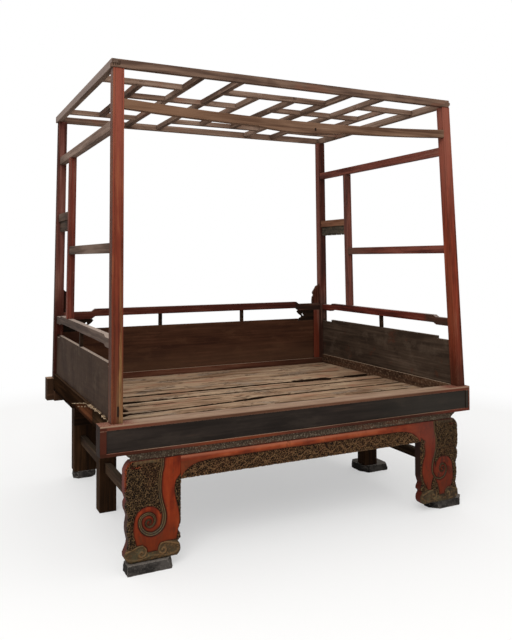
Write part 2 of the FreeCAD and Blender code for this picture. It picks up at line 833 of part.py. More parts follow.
# Half outline of a carved leg, as shares of its width and height, from the outer top corner
LEG_START_SHARES = (0.12, 1.0)
LEG_OUTLINE_SHARES = (
    ((0.025, 0.975), (0.0, 0.91)),
    ((0.0, 0.68),),
    ((0.022, 0.66), (0.034, 0.625)),
    ((0.0, 0.56), (0.052, 0.46)),
    ((0.02, 0.345), (0.066, 0.22)),
    ((0.0, 0.1), (0.085, 0.0)),
    ((0.86, 0.0),),
    ((1.0, 0.07), (0.95, 0.15)),
    ((1.0, 0.2), (0.955, 0.26)),
    ((0.975, 0.32), (1.0, 0.34)),
    ((1.0, 1.0),),
)


def make_carved_leg(x_side):
    name = side_word(x_side) + "_carved_leg"

    def at(across, up):
        x = base_left + carved_leg_width * across
        return Vec(x, carved_front, block_height + base_leg_height * up)
    face = flat_outline(LEG_START_SHARES, LEG_OUTLINE_SHARES, at)
    leg = face.extrude(Vec(0, carved_leg_thickness, 0))
    if x_side > 0:
        leg = mirrored(leg, base_middle)
    middle = (base_left if x_side < 0 else base_right) - x_side * carved_leg_width / 2
    back = carved_front + carved_leg_thickness
    stub = (middle - stub_width / 2, middle + stub_width / 2, back - stub_thickness, back,
            base_top, sill_z + stub_rise)
    house("front_sill", stub, upright)
    pieces[name] = leg.fuse(block(stub, upright)).removeSplitter()


def make_front_boards():
    """The apron between the carved legs, and the waist strip above them."""
    front = carved_front + apron_recess
    tenoned("carved_apron", (base_left + carved_leg_width, base_right - carved_leg_width,
                             front, front + apron_thickness, base_top - apron_height, base_top), 0,
            ("left_carved_leg", "right_carved_leg"), tenon_reach, upright)
    front = carved_front + waist_recess
    pieces["waist_strip"] = block((base_left + waist_inset, base_right - waist_inset,
                                   front, front + waist_thickness, base_top, sill_z), upright)


def leg_from_front(x_side):
    return left_middle_leg_from_front if x_side < 0 else right_middle_leg_from_front


def make_side_base(x_side):
    """One side of the base: middle leg, rear leg, top rail and the long stretcher through the middle leg."""
    word = side_word(x_side)
    x = middle_leg_x(x_side)
    foot = 0.0 if x_side < 0 else block_height
    rail_low = sill_z - side_rail_height
    y0 = carved_front + leg_from_front(x_side)
    leg_box = (x - middle_leg_width / 2, x + middle_leg_width / 2, y0, y0 + middle_leg_depth, foot, rail_low)
    rail_front, rail_back = carved_front + carved_leg_thickness, frame_back - rear_leg_depth
    tenoned(word + "_middle_leg", leg_box, 2, (None, word + "_base_rail"), short_reach, upright)
    rail_box = (x - side_rail_width / 2, x + side_rail_width / 2, rail_front, rail_back, rail_low, sill_z)
    rail = tenoned(word + "_base_rail", rail_box, 1, (word + "_carved_leg", None), short_reach, upright)
    tip = tongue(rail_box, 1, 1, short_reach)[:5] + (rear_sill_z,)
    house(word + "_rear_leg", tip, upright)
    house(word + "_base_rail", (post_left, post_right, frame_back - sill_lip - sill_ledge, frame_back,
                                rear_sill_z, ledge_z), upright)
    pieces[word + "_base_rail"] = rail.fuse(block(tip, upright)).removeSplitter()
    rear_x = rear_leg_x(x_side)
    pieces[word + "_rear_leg"] = block((rear_x - rear_leg_width / 2, rear_x + rear_leg_width / 2,
                                        rail_back, frame_back, block_height, rear_sill_z), upright)
    bar = (x - stretcher_width / 2, x + stretcher_width / 2, rail_front, rail_back,
           stretcher_bottom, stretcher_bottom + stretcher_height)
    house(word + "_middle_leg", bar, upright)
    tenoned(word + "_stretcher", bar, 1, (word + "_carved_leg", word + "_rear_leg"), short_reach, upright)


def make_rear_rail():
    """The rail let into the front of both rear legs."""
    front = frame_back - rear_leg_depth
    box = (rear_leg_x(-1) - rear_leg_width / 2, rear_leg_x(1) + rear_leg_width / 2,
           front, front + rear_rail_thickness, rear_rail_bottom, rear_rail_bottom + rear_rail_height)
    for word in ("left", "right"):
        house(word + "_rear_leg", box, upright)
    pieces["base_rear_rail"] = block(box, upright)


def foot_block(x0, length, y0, depth):
    return block((x0, x0 + length, y0, y0 + depth, 0.0, block_height), upright)


def make_foot_blocks():
    """Loose blocks that level the bed under every foot but the left middle leg."""
    solids = [foot_block(base_left + left_block_inside, front_block_length,
                         carved_front + left_block_behind, front_block_depth),
              foot_block(base_right - right_block_inside - front_block_length, front_block_length,
                         carved_front + right_block_behind, front_block_depth)]
    for x_side in (-1, 1):
        solids.append(foot_block(rear_leg_x(x_side) - rear_leg_width / 2, rear_leg_width,
                                 frame_back - rear_leg_depth, rear_leg_depth))
    right_middle_side = middle_leg_x(1) - middle_leg_width / 2
    solids.append(foot_block(right_middle_side - middle_block_margin, middle_block_length,
                             carved_front + right_middle_leg_from_front - middle_block_margin,
                             middle_block_depth))
    pieces["foot_blocks"] = Part.makeCompound(solids)


def build_all():
    make_sills()
    make_bearers()
    make_planks()
    make_roof_frame()
    make_lattice()
    for x_side in (-1, 1):
        for y_side in (-1, 1):
            make_corner_post(x_side, y_side)
        make_side_rails(x_side)
        make_side_post(x_side)
    make_front_rail()
    for side in ("back", "left", "right"):
        make_panel(side)
        make_handrail(side)
    make_struts()
    for x_side in (-1, 1):
        make_bracket(x_side)
        make_ear(x_side)
        make_carved_leg(x_side)
        make_side_base(x_side)
    make_front_boards()
    make_rear_rail()
    make_foot_blocks()


def export_all():
    for name, shape in sorted(pieces.items()):
        if mortises[name]:
            shape = shape.cut(mortises[name])
        for solid in shape.Solids:
            if not solid.isValid():
                print("invalid solid in", name)
        print(name, len(shape.Solids), "solids", round(shape.Volume / 1e6, 3), "litres")
        shape.exportStep("parts/%s.step" % name)


build_all()
export_all()
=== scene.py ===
import math

import bmesh
import bpy
import numpy as np
from mathutils import Matrix, Vector


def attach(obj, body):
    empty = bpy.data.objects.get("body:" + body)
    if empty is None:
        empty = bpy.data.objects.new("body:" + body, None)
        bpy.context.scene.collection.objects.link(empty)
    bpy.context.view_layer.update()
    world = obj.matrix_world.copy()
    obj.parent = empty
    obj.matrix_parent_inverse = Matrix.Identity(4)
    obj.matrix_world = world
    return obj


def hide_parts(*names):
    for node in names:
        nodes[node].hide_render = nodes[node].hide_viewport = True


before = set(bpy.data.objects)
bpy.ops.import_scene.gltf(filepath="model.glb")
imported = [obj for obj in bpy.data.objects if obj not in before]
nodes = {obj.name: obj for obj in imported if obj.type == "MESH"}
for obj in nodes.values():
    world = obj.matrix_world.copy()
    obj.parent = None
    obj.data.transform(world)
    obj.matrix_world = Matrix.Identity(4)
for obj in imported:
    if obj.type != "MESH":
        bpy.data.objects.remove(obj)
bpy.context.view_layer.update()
MM = 0.001

# The camera, at the photograph's place and angle
CAMERA_PLACE = Vector((-1.716, -3.5616, 1.3756))
CAMERA_YAW = 0.4409
CAMERA_PITCH = 0.021
CAMERA_ROLL = -0.0028
CAMERA_LENS = 37.513
CAMERA_SENSOR = 36.0
CAMERA_SHIFT_X = 0.0281
CAMERA_SHIFT_Y = -0.1188


def make_camera():
    data = bpy.data.cameras.new("view_camera")
    data.lens = CAMERA_LENS
    data.sensor_width = CAMERA_SENSOR
    data.shift_x = CAMERA_SHIFT_X
    data.shift_y = CAMERA_SHIFT_Y
    data.clip_start = 0.05
    data.clip_end = 200.0
    camera = bpy.data.objects.new("view_camera", data)
    bpy.context.scene.collection.objects.link(camera)
    flat = math.cos(CAMERA_PITCH)
    ahead = Vector((math.sin(CAMERA_YAW) * flat, math.cos(CAMERA_YAW) * flat, math.sin(CAMERA_PITCH)))
    side = Vector((math.cos(CAMERA_YAW), -math.sin(CAMERA_YAW), 0.0))
    over = side.cross(ahead)
    turned_side = math.cos(CAMERA_ROLL) * side + math.sin(CAMERA_ROLL) * over
    turned_over = math.cos(CAMERA_ROLL) * over - math.sin(CAMERA_ROLL) * side
    turned = Matrix((turned_side, turned_over, -ahead)).transposed()
    camera.matrix_world = Matrix.Translation(CAMERA_PLACE) @ turned.to_4x4()
    bpy.context.scene.camera = camera


def ink(red, green, blue):
    """A colour as a picture shows it, from 0 to 255, made linear for a shader."""
    parts = [c / 255.0 for c in (red, green, blue)]
    return tuple(c / 12.92 if c <= 0.04045 else ((c + 0.055) / 1.055) ** 2.4 for c in parts) + (1.0,)


class Nodes:
    """A node tree, with short ways to add to it."""

    def __init__(self, tree):
        self.tree = tree

    def add(self, kind, inputs=(), **settings):
        node = self.tree.nodes.new("ShaderNode" + kind)
        for key, value in settings.items():
            setattr(node, key, value)
        for key, value in dict(inputs).items():
            if isinstance(value, bpy.types.NodeSocket):
                self.tree.links.new(value, node.inputs[key])
            else:
                node.inputs[key].default_value = value
        return node

    def math(self, operation, a, b=0.0):
        return self.add("Math", {0: a, 1: b}, operation=operation).outputs[0]

    def times(self, a, b):
        return self.math("MULTIPLY", a, b)

    def plus(self, a, b):
        return self.math("ADD", a, b)

    def less(self, a, b):
        return self.math("SUBTRACT", a, b)

    def most(self, a, b):
        return self.math("MAXIMUM", a, b)

    def distance(self, a, b):
        return self.math("SQRT", self.plus(self.times(a, a), self.times(b, b)))

    def looked_at(self):
        """1 for a ray of the view, also by way of a mirror or glass, and 0 for a ray that carries light."""
        path = self.add("LightPath").outputs
        return self.most(self.most(path["Is Camera Ray"], path["Is Glossy Ray"]), path["Is Transmission Ray"])


class Paint(Nodes):
    """A node material, with what its colours are mixed from."""

    def __init__(self, name, specular=0.1):
        self.material = bpy.data.materials.new(name)
        self.material.use_nodes = True
        super().__init__(self.material.node_tree)
        self.shader = self.tree.nodes["Principled BSDF"]
        self.shader.inputs["Specular IOR Level"].default_value = specular
        self.place = self.add("TexCoord").outputs["Object"]
        self.geometry = self.add("NewGeometry")
        self.x, self.y, self.z = self.add("SeparateXYZ", {0: self.place}).outputs
        facing = self.add("SeparateXYZ", {0: self.geometry.outputs["Normal"]})
        self.facing_x, self.facing_y, self.facing_z = facing.outputs

    def window(self, value, low, high):
        """0 at low and 1 at high, smooth between."""
        inputs = {"Value": value, "From Min": low, "From Max": high}
        return self.add("MapRange", inputs, interpolation_type="SMOOTHSTEP").outputs[0]

    def between(self, value, low, high, soft):
        """1 from low to high, and 0 outside."""
        rising = self.window(value, low - soft, low + soft)
        return self.times(rising, self.window(value, high + soft, high - soft))

    def blend(self, share, a, b):
        return self.add("Mix", {0: share, 6: a, 7: b}, data_type="RGBA").outputs[2]

    def mask(self, *parts):
        """The product of masks. A part is a mask, or a value or its name with the window or band it shows through."""
        made = None
        for part in parts:
            if isinstance(part, tuple):
                value, *limits = part
                value = getattr(self, value) if isinstance(value, str) else value
                part = self.between(value, *limits) if len(limits) == 3 else self.window(value, *limits)
            made = part if made is None else self.times(made, part)
        return made

    def coats(self, colour, *coats):
        """Coats over a colour. Each coat has its share, its tone, and the parts of its mask."""
        for share, tone, *parts in coats:
            colour = self.blend(self.times(self.mask(*parts), share), colour, ink(*tone))
        return colour

    def two_tone(self, value, low, high, first, second):
        """The first tone where the value is low, and the second where it is high."""
        return self.blend(self.window(value, low, high), ink(*first), ink(*second))

    def noise(self, scale, detail=4.0, rough=0.55):
        """Noise from about 0 to 1, with one scale or its own scale on each axis."""
        scale = scale if isinstance(scale, tuple) else (scale,) * 3
        at = self.add("Mapping", {"Vector": self.place, "Scale": scale}).outputs[0]
        inputs = {"Vector": at, "Scale": 1.0, "Detail": detail, "Roughness": rough}
        return self.add("TexNoise", inputs).outputs["Fac"]

    def zones(self):
        """The four values of the mesh to paint by."""
        made = self.add("VertexColor", layer_name="zones").outputs
        return [*self.add("SeparateColor", {0: made["Color"]}).outputs, made["Alpha"]]

    def vein(self, noise, wide, narrow):
        """Thin winding lines through a noise, 1 on the line and 0 beyond its width."""
        return self.window(self.math("ABSOLUTE", self.less(noise, 0.5)), wide, narrow)

    def edge(self, radius):
        """1 at the sharp edges of the shape, and 0 on its faces."""
        rounded = self.add("Bevel", {"Radius": radius}, samples=4).outputs[0]
        flat = self.geometry.outputs["True Normal"]
        same = self.add("VectorMath", {0: rounded, 1: flat}, operation="DOT_PRODUCT").outputs["Value"]
        return self.window(same, 0.995, 0.78)

    def corner_shade(self, distance):
        """1 deep in a corner, and 0 in the open: the mask for painted shade in corners and hollows."""
        seen = self.add("AmbientOcclusion", {"Distance": distance}, samples=4).outputs["AO"]
        return self.window(seen, 0.75, 0.3)

    def finish(self, colour, roughness, height, bump=0.5, deep=0.0015):
        bumped = self.add("Bump", {"Strength": bump, "Distance": deep, "Height": height}).outputs[0]
        for key, value in (("Base Color", colour), ("Roughness", roughness), ("Normal", bumped)):
            self.tree.links.new(value, self.shader.inputs[key])
        return self.material


# The near-black tone and the share of the painted shade in corners and hollows
CORNER_SHADE_BLACK = (0.004, 0.003, 0.002, 1.0)
CORNER_SHADE_SHARE = 0.6
# The front posts: the outer faces at their feet, the height of the feet, and the lean in metres per metre
POST_LEFT_FOOT = -0.982
POST_RIGHT_FOOT = 1.018
POST_FOOT = 0.661
POST_LEAN = 0.016
# The faces that look to the left and to the front
LEFT_SIDE = ("facing_x", -0.3, -0.7)
FRONT_SIDE = ("facing_y", -0.5, -0.8)


def lengthwise(axis, along, across):
    """Noise scales for a timber whose grain runs along that axis."""
    return tuple(along if axis == name else across for name in "xyz")


def timber(name, axis, dark, middle, light, bare, bare_share, dust, dust_share, tint, shine, rough, grain, worn_edge):
    """Old wood or lacquer on wood: streaks along the grain, bare patches, worn edges, dusty tops, and painted shade
    in corners.
    """
    p = Paint(name, specular=shine)
    broad = p.noise(lengthwise(axis, 1.6, 7.0), 3.0)
    streak = p.noise(lengthwise(axis, 2.6, 60.0), 5.0, 0.6)
    fibre = p.noise(lengthwise(axis, 14.0, 520.0), 3.0, 0.6)
    speck = p.noise(160, 4, 0.7)
    tone = p.plus(p.times(broad, 0.5), p.times(streak, 0.5))
    colour = p.two_tone(tone, 0.40, 0.52, dark, middle)
    colour = p.coats(colour, (1.0, light, (tone, 0.50, 0.64)))
    colour = tint(p, colour) if callable(tint) else p.coats(colour, *tint)
    patch = p.window(p.plus(p.times(broad, 0.45), p.times(streak, 0.55)), 0.53, 0.60)
    rubbed = p.mask(p.edge(0.004), (p.noise(22, 4, 0.7), 0.38, 0.58))
    worn = p.most(p.times(patch, bare_share), p.times(rubbed, worn_edge))
    colour = p.coats(
        colour,
        (0.35, dark, (fibre, 0.52, 0.72)),
        (1.0, bare, worn, (speck, 0.25, 0.6)),
        (dust_share, dust, (p.facing_z, 0.55, 0.9), (p.plus(speck, p.times(broad, 0.4)), 0.3, 0.8)),
    )
    # painted shade in corners and hollows, where the surface is occluded
    colour = p.blend(p.times(p.corner_shade(0.03), CORNER_SHADE_SHARE), colour, p.blend(0.7, ink(*dark), CORNER_SHADE_BLACK))
    roughness = p.plus(rough, p.times(p.plus(streak, speck), 0.16))
    height = p.plus(p.times(fibre, 0.5), p.plus(streak, p.times(speck, 0.25)))
    return p.finish(colour, roughness, height, bump=grain)


def painted_light_by_height(p, colour, top, bottom, bottom_share):
    """Lacquer painted lighter near the top and darker near the bottom: painted light from above and painted shade low
    down.
    """
    soft = p.times(p.noise((20, 20, 3)), 0.5)
    over = p.plus(p.z, soft)
    return p.coats(colour, (0.6, top, (over, 1.7, 2.4)), (bottom_share, bottom, (over, 1.5, 1.0)))


def striped_post(p, colour):
    """The front left post: a bead along its outer corner, and a strip by the inner corner worn to pale wood."""
    # painted light near the top and painted shade low down
    colour = painted_light_by_height(p, colour, (146, 80, 64), (84, 45, 28), 0.75)
    lean = p.times(p.less(p.z, POST_FOOT), POST_LEAN)
    across = p.less(p.x, p.plus(POST_LEFT_FOOT, lean))
    front = p.mask(FRONT_SIDE)
    torn = p.noise((60, 60, 3), 4, 0.6)
    strip = ((across, 0.034, 0.046, 0.002), (torn, 0.40, 0.55), front, (p.z, 1.45, 0.85))
    colour = p.coats(colour, (0.9, (142, 108, 66), *strip))
    ragged = p.plus(p.z, p.times(torn, 0.3))
    foot = p.mask((ragged, 1.10, 0.82), (across, 0.016, 0.030), front)
    colour = p.blend(p.times(foot, 0.8), colour, p.two_tone(torn, 0.4, 0.6, (84, 55, 34), (132, 106, 72)))
    groove = p.most(p.between(across, 0.0295, 0.0315, 0.0008), p.between(across, 0.0125, 0.014, 0.0008))
    colour = p.coats(
        colour,
        (0.7, (44, 20, 14), groove, (p.z, 1.5, 0.9), front),
        (1.0, (18, 12, 9), (across, 0.026, 0.034, 0.001), (p.z, 0.69, 0.735, 0.002), front),
    )
    # The face to the left: pale weathered grey high up, and painted darker lower down as painted shade on that side
    aged_and_shaded = p.two_tone(ragged, 2.0, 2.3, (62, 40, 31), (112, 94, 86))
    aged_and_shaded = p.coats(aged_and_shaded, (1.0, (78, 50, 38), (torn, 0.42, 0.6)))
    return p.blend(p.times(p.mask(LEFT_SIDE), 0.9), colour, aged_and_shaded)


def right_post(p, colour):
    """The front right post: painted lighter near the top and darker low down as painted light and shade, with painted
    shade along its outer edge low down, and darker at its foot.
    """
    # painted light near the top and painted shade low down
    colour = painted_light_by_height(p, colour, (142, 90, 76), (64, 23, 10), 0.8)
    torn = p.noise((60, 60, 3), 4, 0.6)
    lean = p.times(p.less(p.z, POST_FOOT), POST_LEAN)
    across = p.less(POST_RIGHT_FOOT, p.plus(p.x, lean))
    return p.coats(
        colour,
        # painted shade along the right outer edge, lower down
        (0.65, (60, 28, 20), (across, 0.022, 0.010), (p.plus(p.z, p.times(torn, 0.4)), 1.9, 1.2)),
        (0.4, (128, 66, 40), (across, 0.044, 0.056), (p.z, 0.9, 1.4, 0.2)),
        (0.7, (56, 30, 17), (p.plus(p.z, p.times(torn, 0.2)), 0.92, 0.76)),
    )


def grey_outside(p, colour):
    """The side to the left has lost its lacquer to a weathered grey."""
    soft = p.noise((3, 5, 3.5))
    streak = p.noise((30, 26, 2.4))
    grey = p.two_tone(soft, 0.34, 0.66, (52, 38, 30), (66, 51, 41))
    smudge = p.noise((11, 9, 11), 5, 0.7)
    grey = p.coats(
        grey,
        (0.2, (78, 63, 52), (streak, 0.5, 0.7)),
        (0.5, (80, 66, 54), (smudge, 0.52, 0.68)),
    )
    return p.blend(p.mask(LEFT_SIDE), colour, grey)


def smudged(p, colour):
    """Old lacquer with grey rubbed patches and dark stains."""
    smudge = p.noise((7, 7, 9), 6, 0.7)
    redder = p.noise((10, 10, 14), 4, 0.6)
    return p.coats(
        colour,
        (0.55, (88, 74, 62), (smudge, 0.50, 0.66)),
        (0.55, (42, 31, 24), (smudge, 0.44, 0.32)),
        (0.45, (84, 46, 32), (redder, 0.58, 0.70)),
    )


def browned(p, colour):
    """Even dark lacquer, redder in places and dirty low down."""
    smudge = p.noise((6, 6, 14), 6, 0.7)
    return p.coats(
        colour,
        (0.5, (84, 56, 39), (smudge, 0.50, 0.66)),
        (0.5, (46, 28, 18), (smudge, 0.44, 0.32)),
        (0.45, (86, 62, 46), (p.z, 0.82, 0.64)),
    )


def flaky(p, colour):
    """A surface whose old paint has flaked off in small bits."""
    flake = p.noise(70, 4, 0.7)
    return p.coats(
        colour,
        (0.7, (118, 96, 76), (flake, 0.52, 0.62)),
        (0.7, (44, 30, 21), (flake, 0.44, 0.36)),
    )


# Tints of single parts: the rear left post, painted nearly black-brown lower down and darker on its left side as
# painted shade, and the rear right one, gone red-brown, with a painted shadow down its right part lower down
SHADED_LOW = [(0.92, (49, 17, 10), ("z", 1.5, 0.9)), (0.7, (50, 33, 26), LEFT_SIDE)]
LOWER_ORANGE_AND_SHADOW = [
    (0.8, (106, 46, 29), ("z", 1.3, 0.8)),
    # painted shadow down the right part of the rear right post, lower down
    (0.85, (36, 26, 20), ("x", 0.944, 0.950), ("z", 1.20, 1.0)),
    (0.7, (122, 72, 60), LEFT_SIDE, ("z", 0.9, 1.3)),
]
# The front rail, browner towards its left end, with one dark mark
WARM_LEFT = [
    (0.5, (120, 88, 66), ("x", 0.0, -0.8)),
    (1.0, (30, 22, 18), ("x", 0.085, 0.095, 0.002), ("z", 2.022, 2.038, 0.002), FRONT_SIDE),
]
# The back handrail beyond its step at the right, and the right one beyond its step at the front
DARK_END = [(0.8, (34, 25, 18), ("x", 0.735, 0.760))]
BROWN_FRONT = [(0.8, (58, 43, 33), ("y", -0.44, -0.48))]
# The outer side of the roof's left rail, painted a lighter grey, partly as painted light on that shaded face, and the
# rear end of the right middle rail
LIT_GREY_OUTER = [(0.75, (150, 134, 127), LEFT_SIDE)]
GREY_REAR = [(0.7, (84, 66, 54), ("y", -0.05, 0.30), ("z", 1.2, 1.7, 0.02))]


def brown_stub(p, colour):
    """The rear sill is plain dark brown where it stands out past the left side, and outside the bed."""
    outside = p.most(p.window(p.x, -0.925, -0.940), p.window(p.y, 0.69, 0.70))
    return p.coats(colour, (0.5, (60, 40, 29), (p.x, 0.5, 0.9)), (0.85, (54, 38, 25), outside))


# End-grain marks at the left front corner of the roof: left, right, lower and upper edge
CORNER_MARKS = [
    (-0.9600, -0.9560, 2.234, 2.256), (-0.9490, -0.9450, 2.234, 2.258), (-0.9450, -0.9360, 2.253, 2.258),
    (-0.9410, -0.9370, 2.236, 2.252), (-0.9300, -0.9260, 2.238, 2.258), (-0.9370, -0.9280, 2.238, 2.243),
]
MARK_SOFT = 0.0008


def stained(p, colour):
    """Old dark stains and traces of red on the canopy."""
    stain = p.noise((5, 5, 9), 4, 0.6)
    colour = p.coats(
        colour,
        (0.4, (66, 48, 38), (stain, 0.56, 0.64)),
        (0.4, (122, 76, 58), (stain, 0.42, 0.33)),
    )
    front = p.mask(FRONT_SIDE, (p.y, -0.65, -0.66))
    return p.coats(colour, *(
        (0.85, (34, 26, 16), (p.x, low, high, MARK_SOFT), (p.z, under, over, MARK_SOFT), front)
        for low, high, under, over in CORNER_MARKS
    ))


# Finishes of the CAD parts: the parts, the grain's axis, three tones from dark to light, the bare tone and its share,
# how dusty it is, and where they are its own, the dust's tone and a tint
DUST_GREY = (150, 130, 114)
PALE_DUST = (164, 148, 132)
TONES = {
    "post_fl": (
        "front_left_post",
        "z", (82, 32, 20), (110, 47, 30), (130, 62, 42), (134, 82, 50), 0.4, 0.4, DUST_GREY, striped_post,
    ),
    "post_fr": (
        "front_right_post",
        "z", (94, 36, 21), (134, 56, 35), (150, 74, 52), (146, 92, 68), 0.4, 0.4, DUST_GREY, right_post,
    ),
    "post_rl": (
        "rear_left_post",
        "z", (69, 37, 32), (103, 61, 52), (125, 83, 75), (124, 88, 70), 0.4, 0.4, DUST_GREY, SHADED_LOW,
    ),
    "post_rr": (
        "rear_right_post",
        "z", (44, 20, 13), (72, 32, 22), (98, 52, 40), (116, 84, 70), 0.5, 0.4, DUST_GREY, LOWER_ORANGE_AND_SHADOW,
    ),
    "side_post": ("left_side_post", "z", (60, 25, 19), (100, 43, 31), (120, 58, 43), (116, 90, 74), 0.5, 0.4),
    "side_right": ("right_side_post", "z", (68, 38, 31), (111, 62, 51), (133, 83, 70), (124, 100, 86), 0.5, 0.4),
    "canopy_x": (
        "roof_front_rail roof_rear_rail",
        "x", (80, 61, 51), (116, 92, 77), (138, 114, 98), (156, 132, 116), 0.3, 0.3, PALE_DUST, stained,
    ),
    "canopy_y": (
        "roof_right_rail",
        "y", (78, 60, 50), (114, 92, 78), (138, 115, 100), (152, 128, 114), 0.3, 0.3, PALE_DUST, stained,
    ),
    "canopy_left": (
        "roof_left_rail",
        "y", (78, 62, 53), (112, 93, 81), (136, 116, 103), (150, 128, 114), 0.3, 0.3, PALE_DUST, LIT_GREY_OUTER,
    ),
    "front_rail": (
        "front_upper_rail",
        "x", (84, 60, 46), (118, 90, 71), (138, 110, 91), (156, 130, 110), 0.3, 0.4, DUST_GREY, WARM_LEFT,
    ),
    "rail_red": (
        "right_upper_rail right_middle_rail",
        "y", (76, 37, 30), (122, 67, 54), (142, 87, 74), (130, 94, 77), 0.5, 0.5, DUST_GREY, GREY_REAR,
    ),
    "rail_grey": (
        "left_middle_rail left_short_rail",
        "y", (64, 50, 42), (92, 74, 63), (114, 95, 83), (130, 110, 97), 0.3, 0.5,
    ),
    "rail_upper": ("left_upper_rail", "y", (86, 69, 60), (122, 101, 89), (148, 126, 113), (150, 128, 114), 0.3, 0.5),
    "skirt": (
        "right_skirt",
        "y", (46, 42, 35), (76, 70, 60), (98, 91, 79), (120, 104, 84), 0.3, 0.3, DUST_GREY, flaky,
    ),
    "rail_short": ("right_short_rail", "y", (84, 52, 38), (130, 88, 66), (152, 112, 88), (120, 116, 84), 0.4, 0.4),
    "skirt_left": ("left_skirt", "y", (52, 42, 35), (82, 67, 57), (102, 86, 75), (112, 94, 80), 0.3, 0.3),
    "hand_back": (
        "back_handrail",
        "x", (42, 20, 15), (74, 34, 25), (98, 50, 39), (112, 80, 64), 0.4, 0.6, (160, 142, 134), DARK_END,
    ),
    "hand_right": (
        "right_handrail",
        "y", (54, 23, 17), (96, 40, 29), (118, 56, 42), (124, 88, 72), 0.4, 0.6, (160, 142, 134), BROWN_FRONT,
    ),
    "hand_left": (
        "left_handrail",
        "y", (48, 36, 30), (74, 59, 51), (92, 76, 67), (124, 106, 96), 0.3, 0.95, (164, 146, 134),
    ),
    "panel_back": (
        "back_panel",
        "x", (52, 30, 21), (65, 40, 27), (77, 49, 35), (92, 56, 38), 0.2, 0.7, (130, 108, 92), browned,
    ),
    "panel_left": (
        "left_panel",
        "y", (46, 29, 21), (64, 42, 31), (78, 55, 42), (110, 90, 76), 0.1, 0.9, (164, 146, 132), grey_outside,
    ),
    "panel_right": (
        "right_panel",
        "y", (51, 40, 32), (66, 53, 43), (79, 65, 54), (98, 81, 68), 0.3, 0.7, (130, 110, 96), smudged,
    ),
    "sill_right": (
        "right_sill",
        "y", (52, 35, 25), (78, 54, 39), (100, 72, 54), (128, 100, 76), 0.4, 0.95, (176, 150, 126), flaky,
    ),
    "sill_rear": (
        "rear_sill",
        "x", (62, 35, 24), (86, 51, 37), (104, 66, 49), (116, 84, 66), 0.3, 0.95, (166, 136, 114), brown_stub,
    ),
    "carving": (
        "back_left_bracket back_right_bracket handrail_struts",
        "x", (20, 13, 9), (34, 23, 15), (50, 34, 23), (88, 66, 52), 0.25, 0.3,
    ),
    "ear": ("back_left_ear back_right_ear", "z", (34, 17, 11), (60, 30, 19), (82, 42, 28), (160, 132, 108), 0.1, 0.3),
    "base_x": ("base_rear_rail", "x", (28, 18, 10), (50, 32, 19), (66, 44, 27), (86, 60, 39), 0.4, 0.4, (90, 74, 58)),
    "base_y": (
        "left_base_rail right_base_rail left_stretcher right_stretcher",
        "y", (28, 19, 12), (50, 35, 24), (66, 50, 36), (82, 65, 50), 0.4, 0.5, (96, 82, 68),
    ),
    "base_z": (
        "left_middle_leg right_middle_leg left_rear_leg right_rear_leg",
        "z", (30, 19, 11), (48, 31, 18), (62, 41, 25), (80, 54, 34), 0.4, 0.4, (84, 70, 56),
    ),
    "bearer": (
        "deck_bearers",
        "y", (48, 34, 23), (78, 58, 41), (100, 76, 55), (122, 96, 72), 0.3, 0.3, (130, 110, 90),
    ),
}
SHINE = {"post_rl": 0.02, "post": 0.10, "side": 0.10, "rail_red": 0.08, "hand": 0.08}
ROUGHNESS = {"post": 0.5, "side": 0.52, "rail_red": 0.55, "canopy": 0.72, "base": 0.65}
CARVED_PARTS = ("carving", "ear", "skirt", "skirt_left")


def by_family(table, name, usual):
    """The value for the family that the name starts with."""
    found = [value for start, value in table.items() if name.startswith(start)]
    return found[0] if found else usual


def make_timbers():
    """The CAD parts keep their shape. They get a finish and slightly softened edges."""
    made = {}
    dress("front_sill", sill_finish())
    for name, (parts, axis, dark, middle, light, bare, bare_share, dust_share, *own) in TONES.items():
        dust, tint = own + [DUST_GREY, ()][len(own):]
        made[name] = timber(
            name, axis, dark, middle, light, bare, bare_share, dust, dust_share, tint,
            shine=by_family(SHINE, name, 0.04), rough=by_family(ROUGHNESS, name, 0.6),
            grain=0.8 if name in CARVED_PARTS else 0.45, worn_edge=1.0 if name == "ear" else 0.6,
        )
        for part in parts.split():
            dress(part, made[name])
    return made


# The front sill, from end to end and from its lower edge to its top
SILL_LEFT = -1.035
SILL_RIGHT = 1.035
SILL_LOW = 0.527
SILL_TOP = 0.661


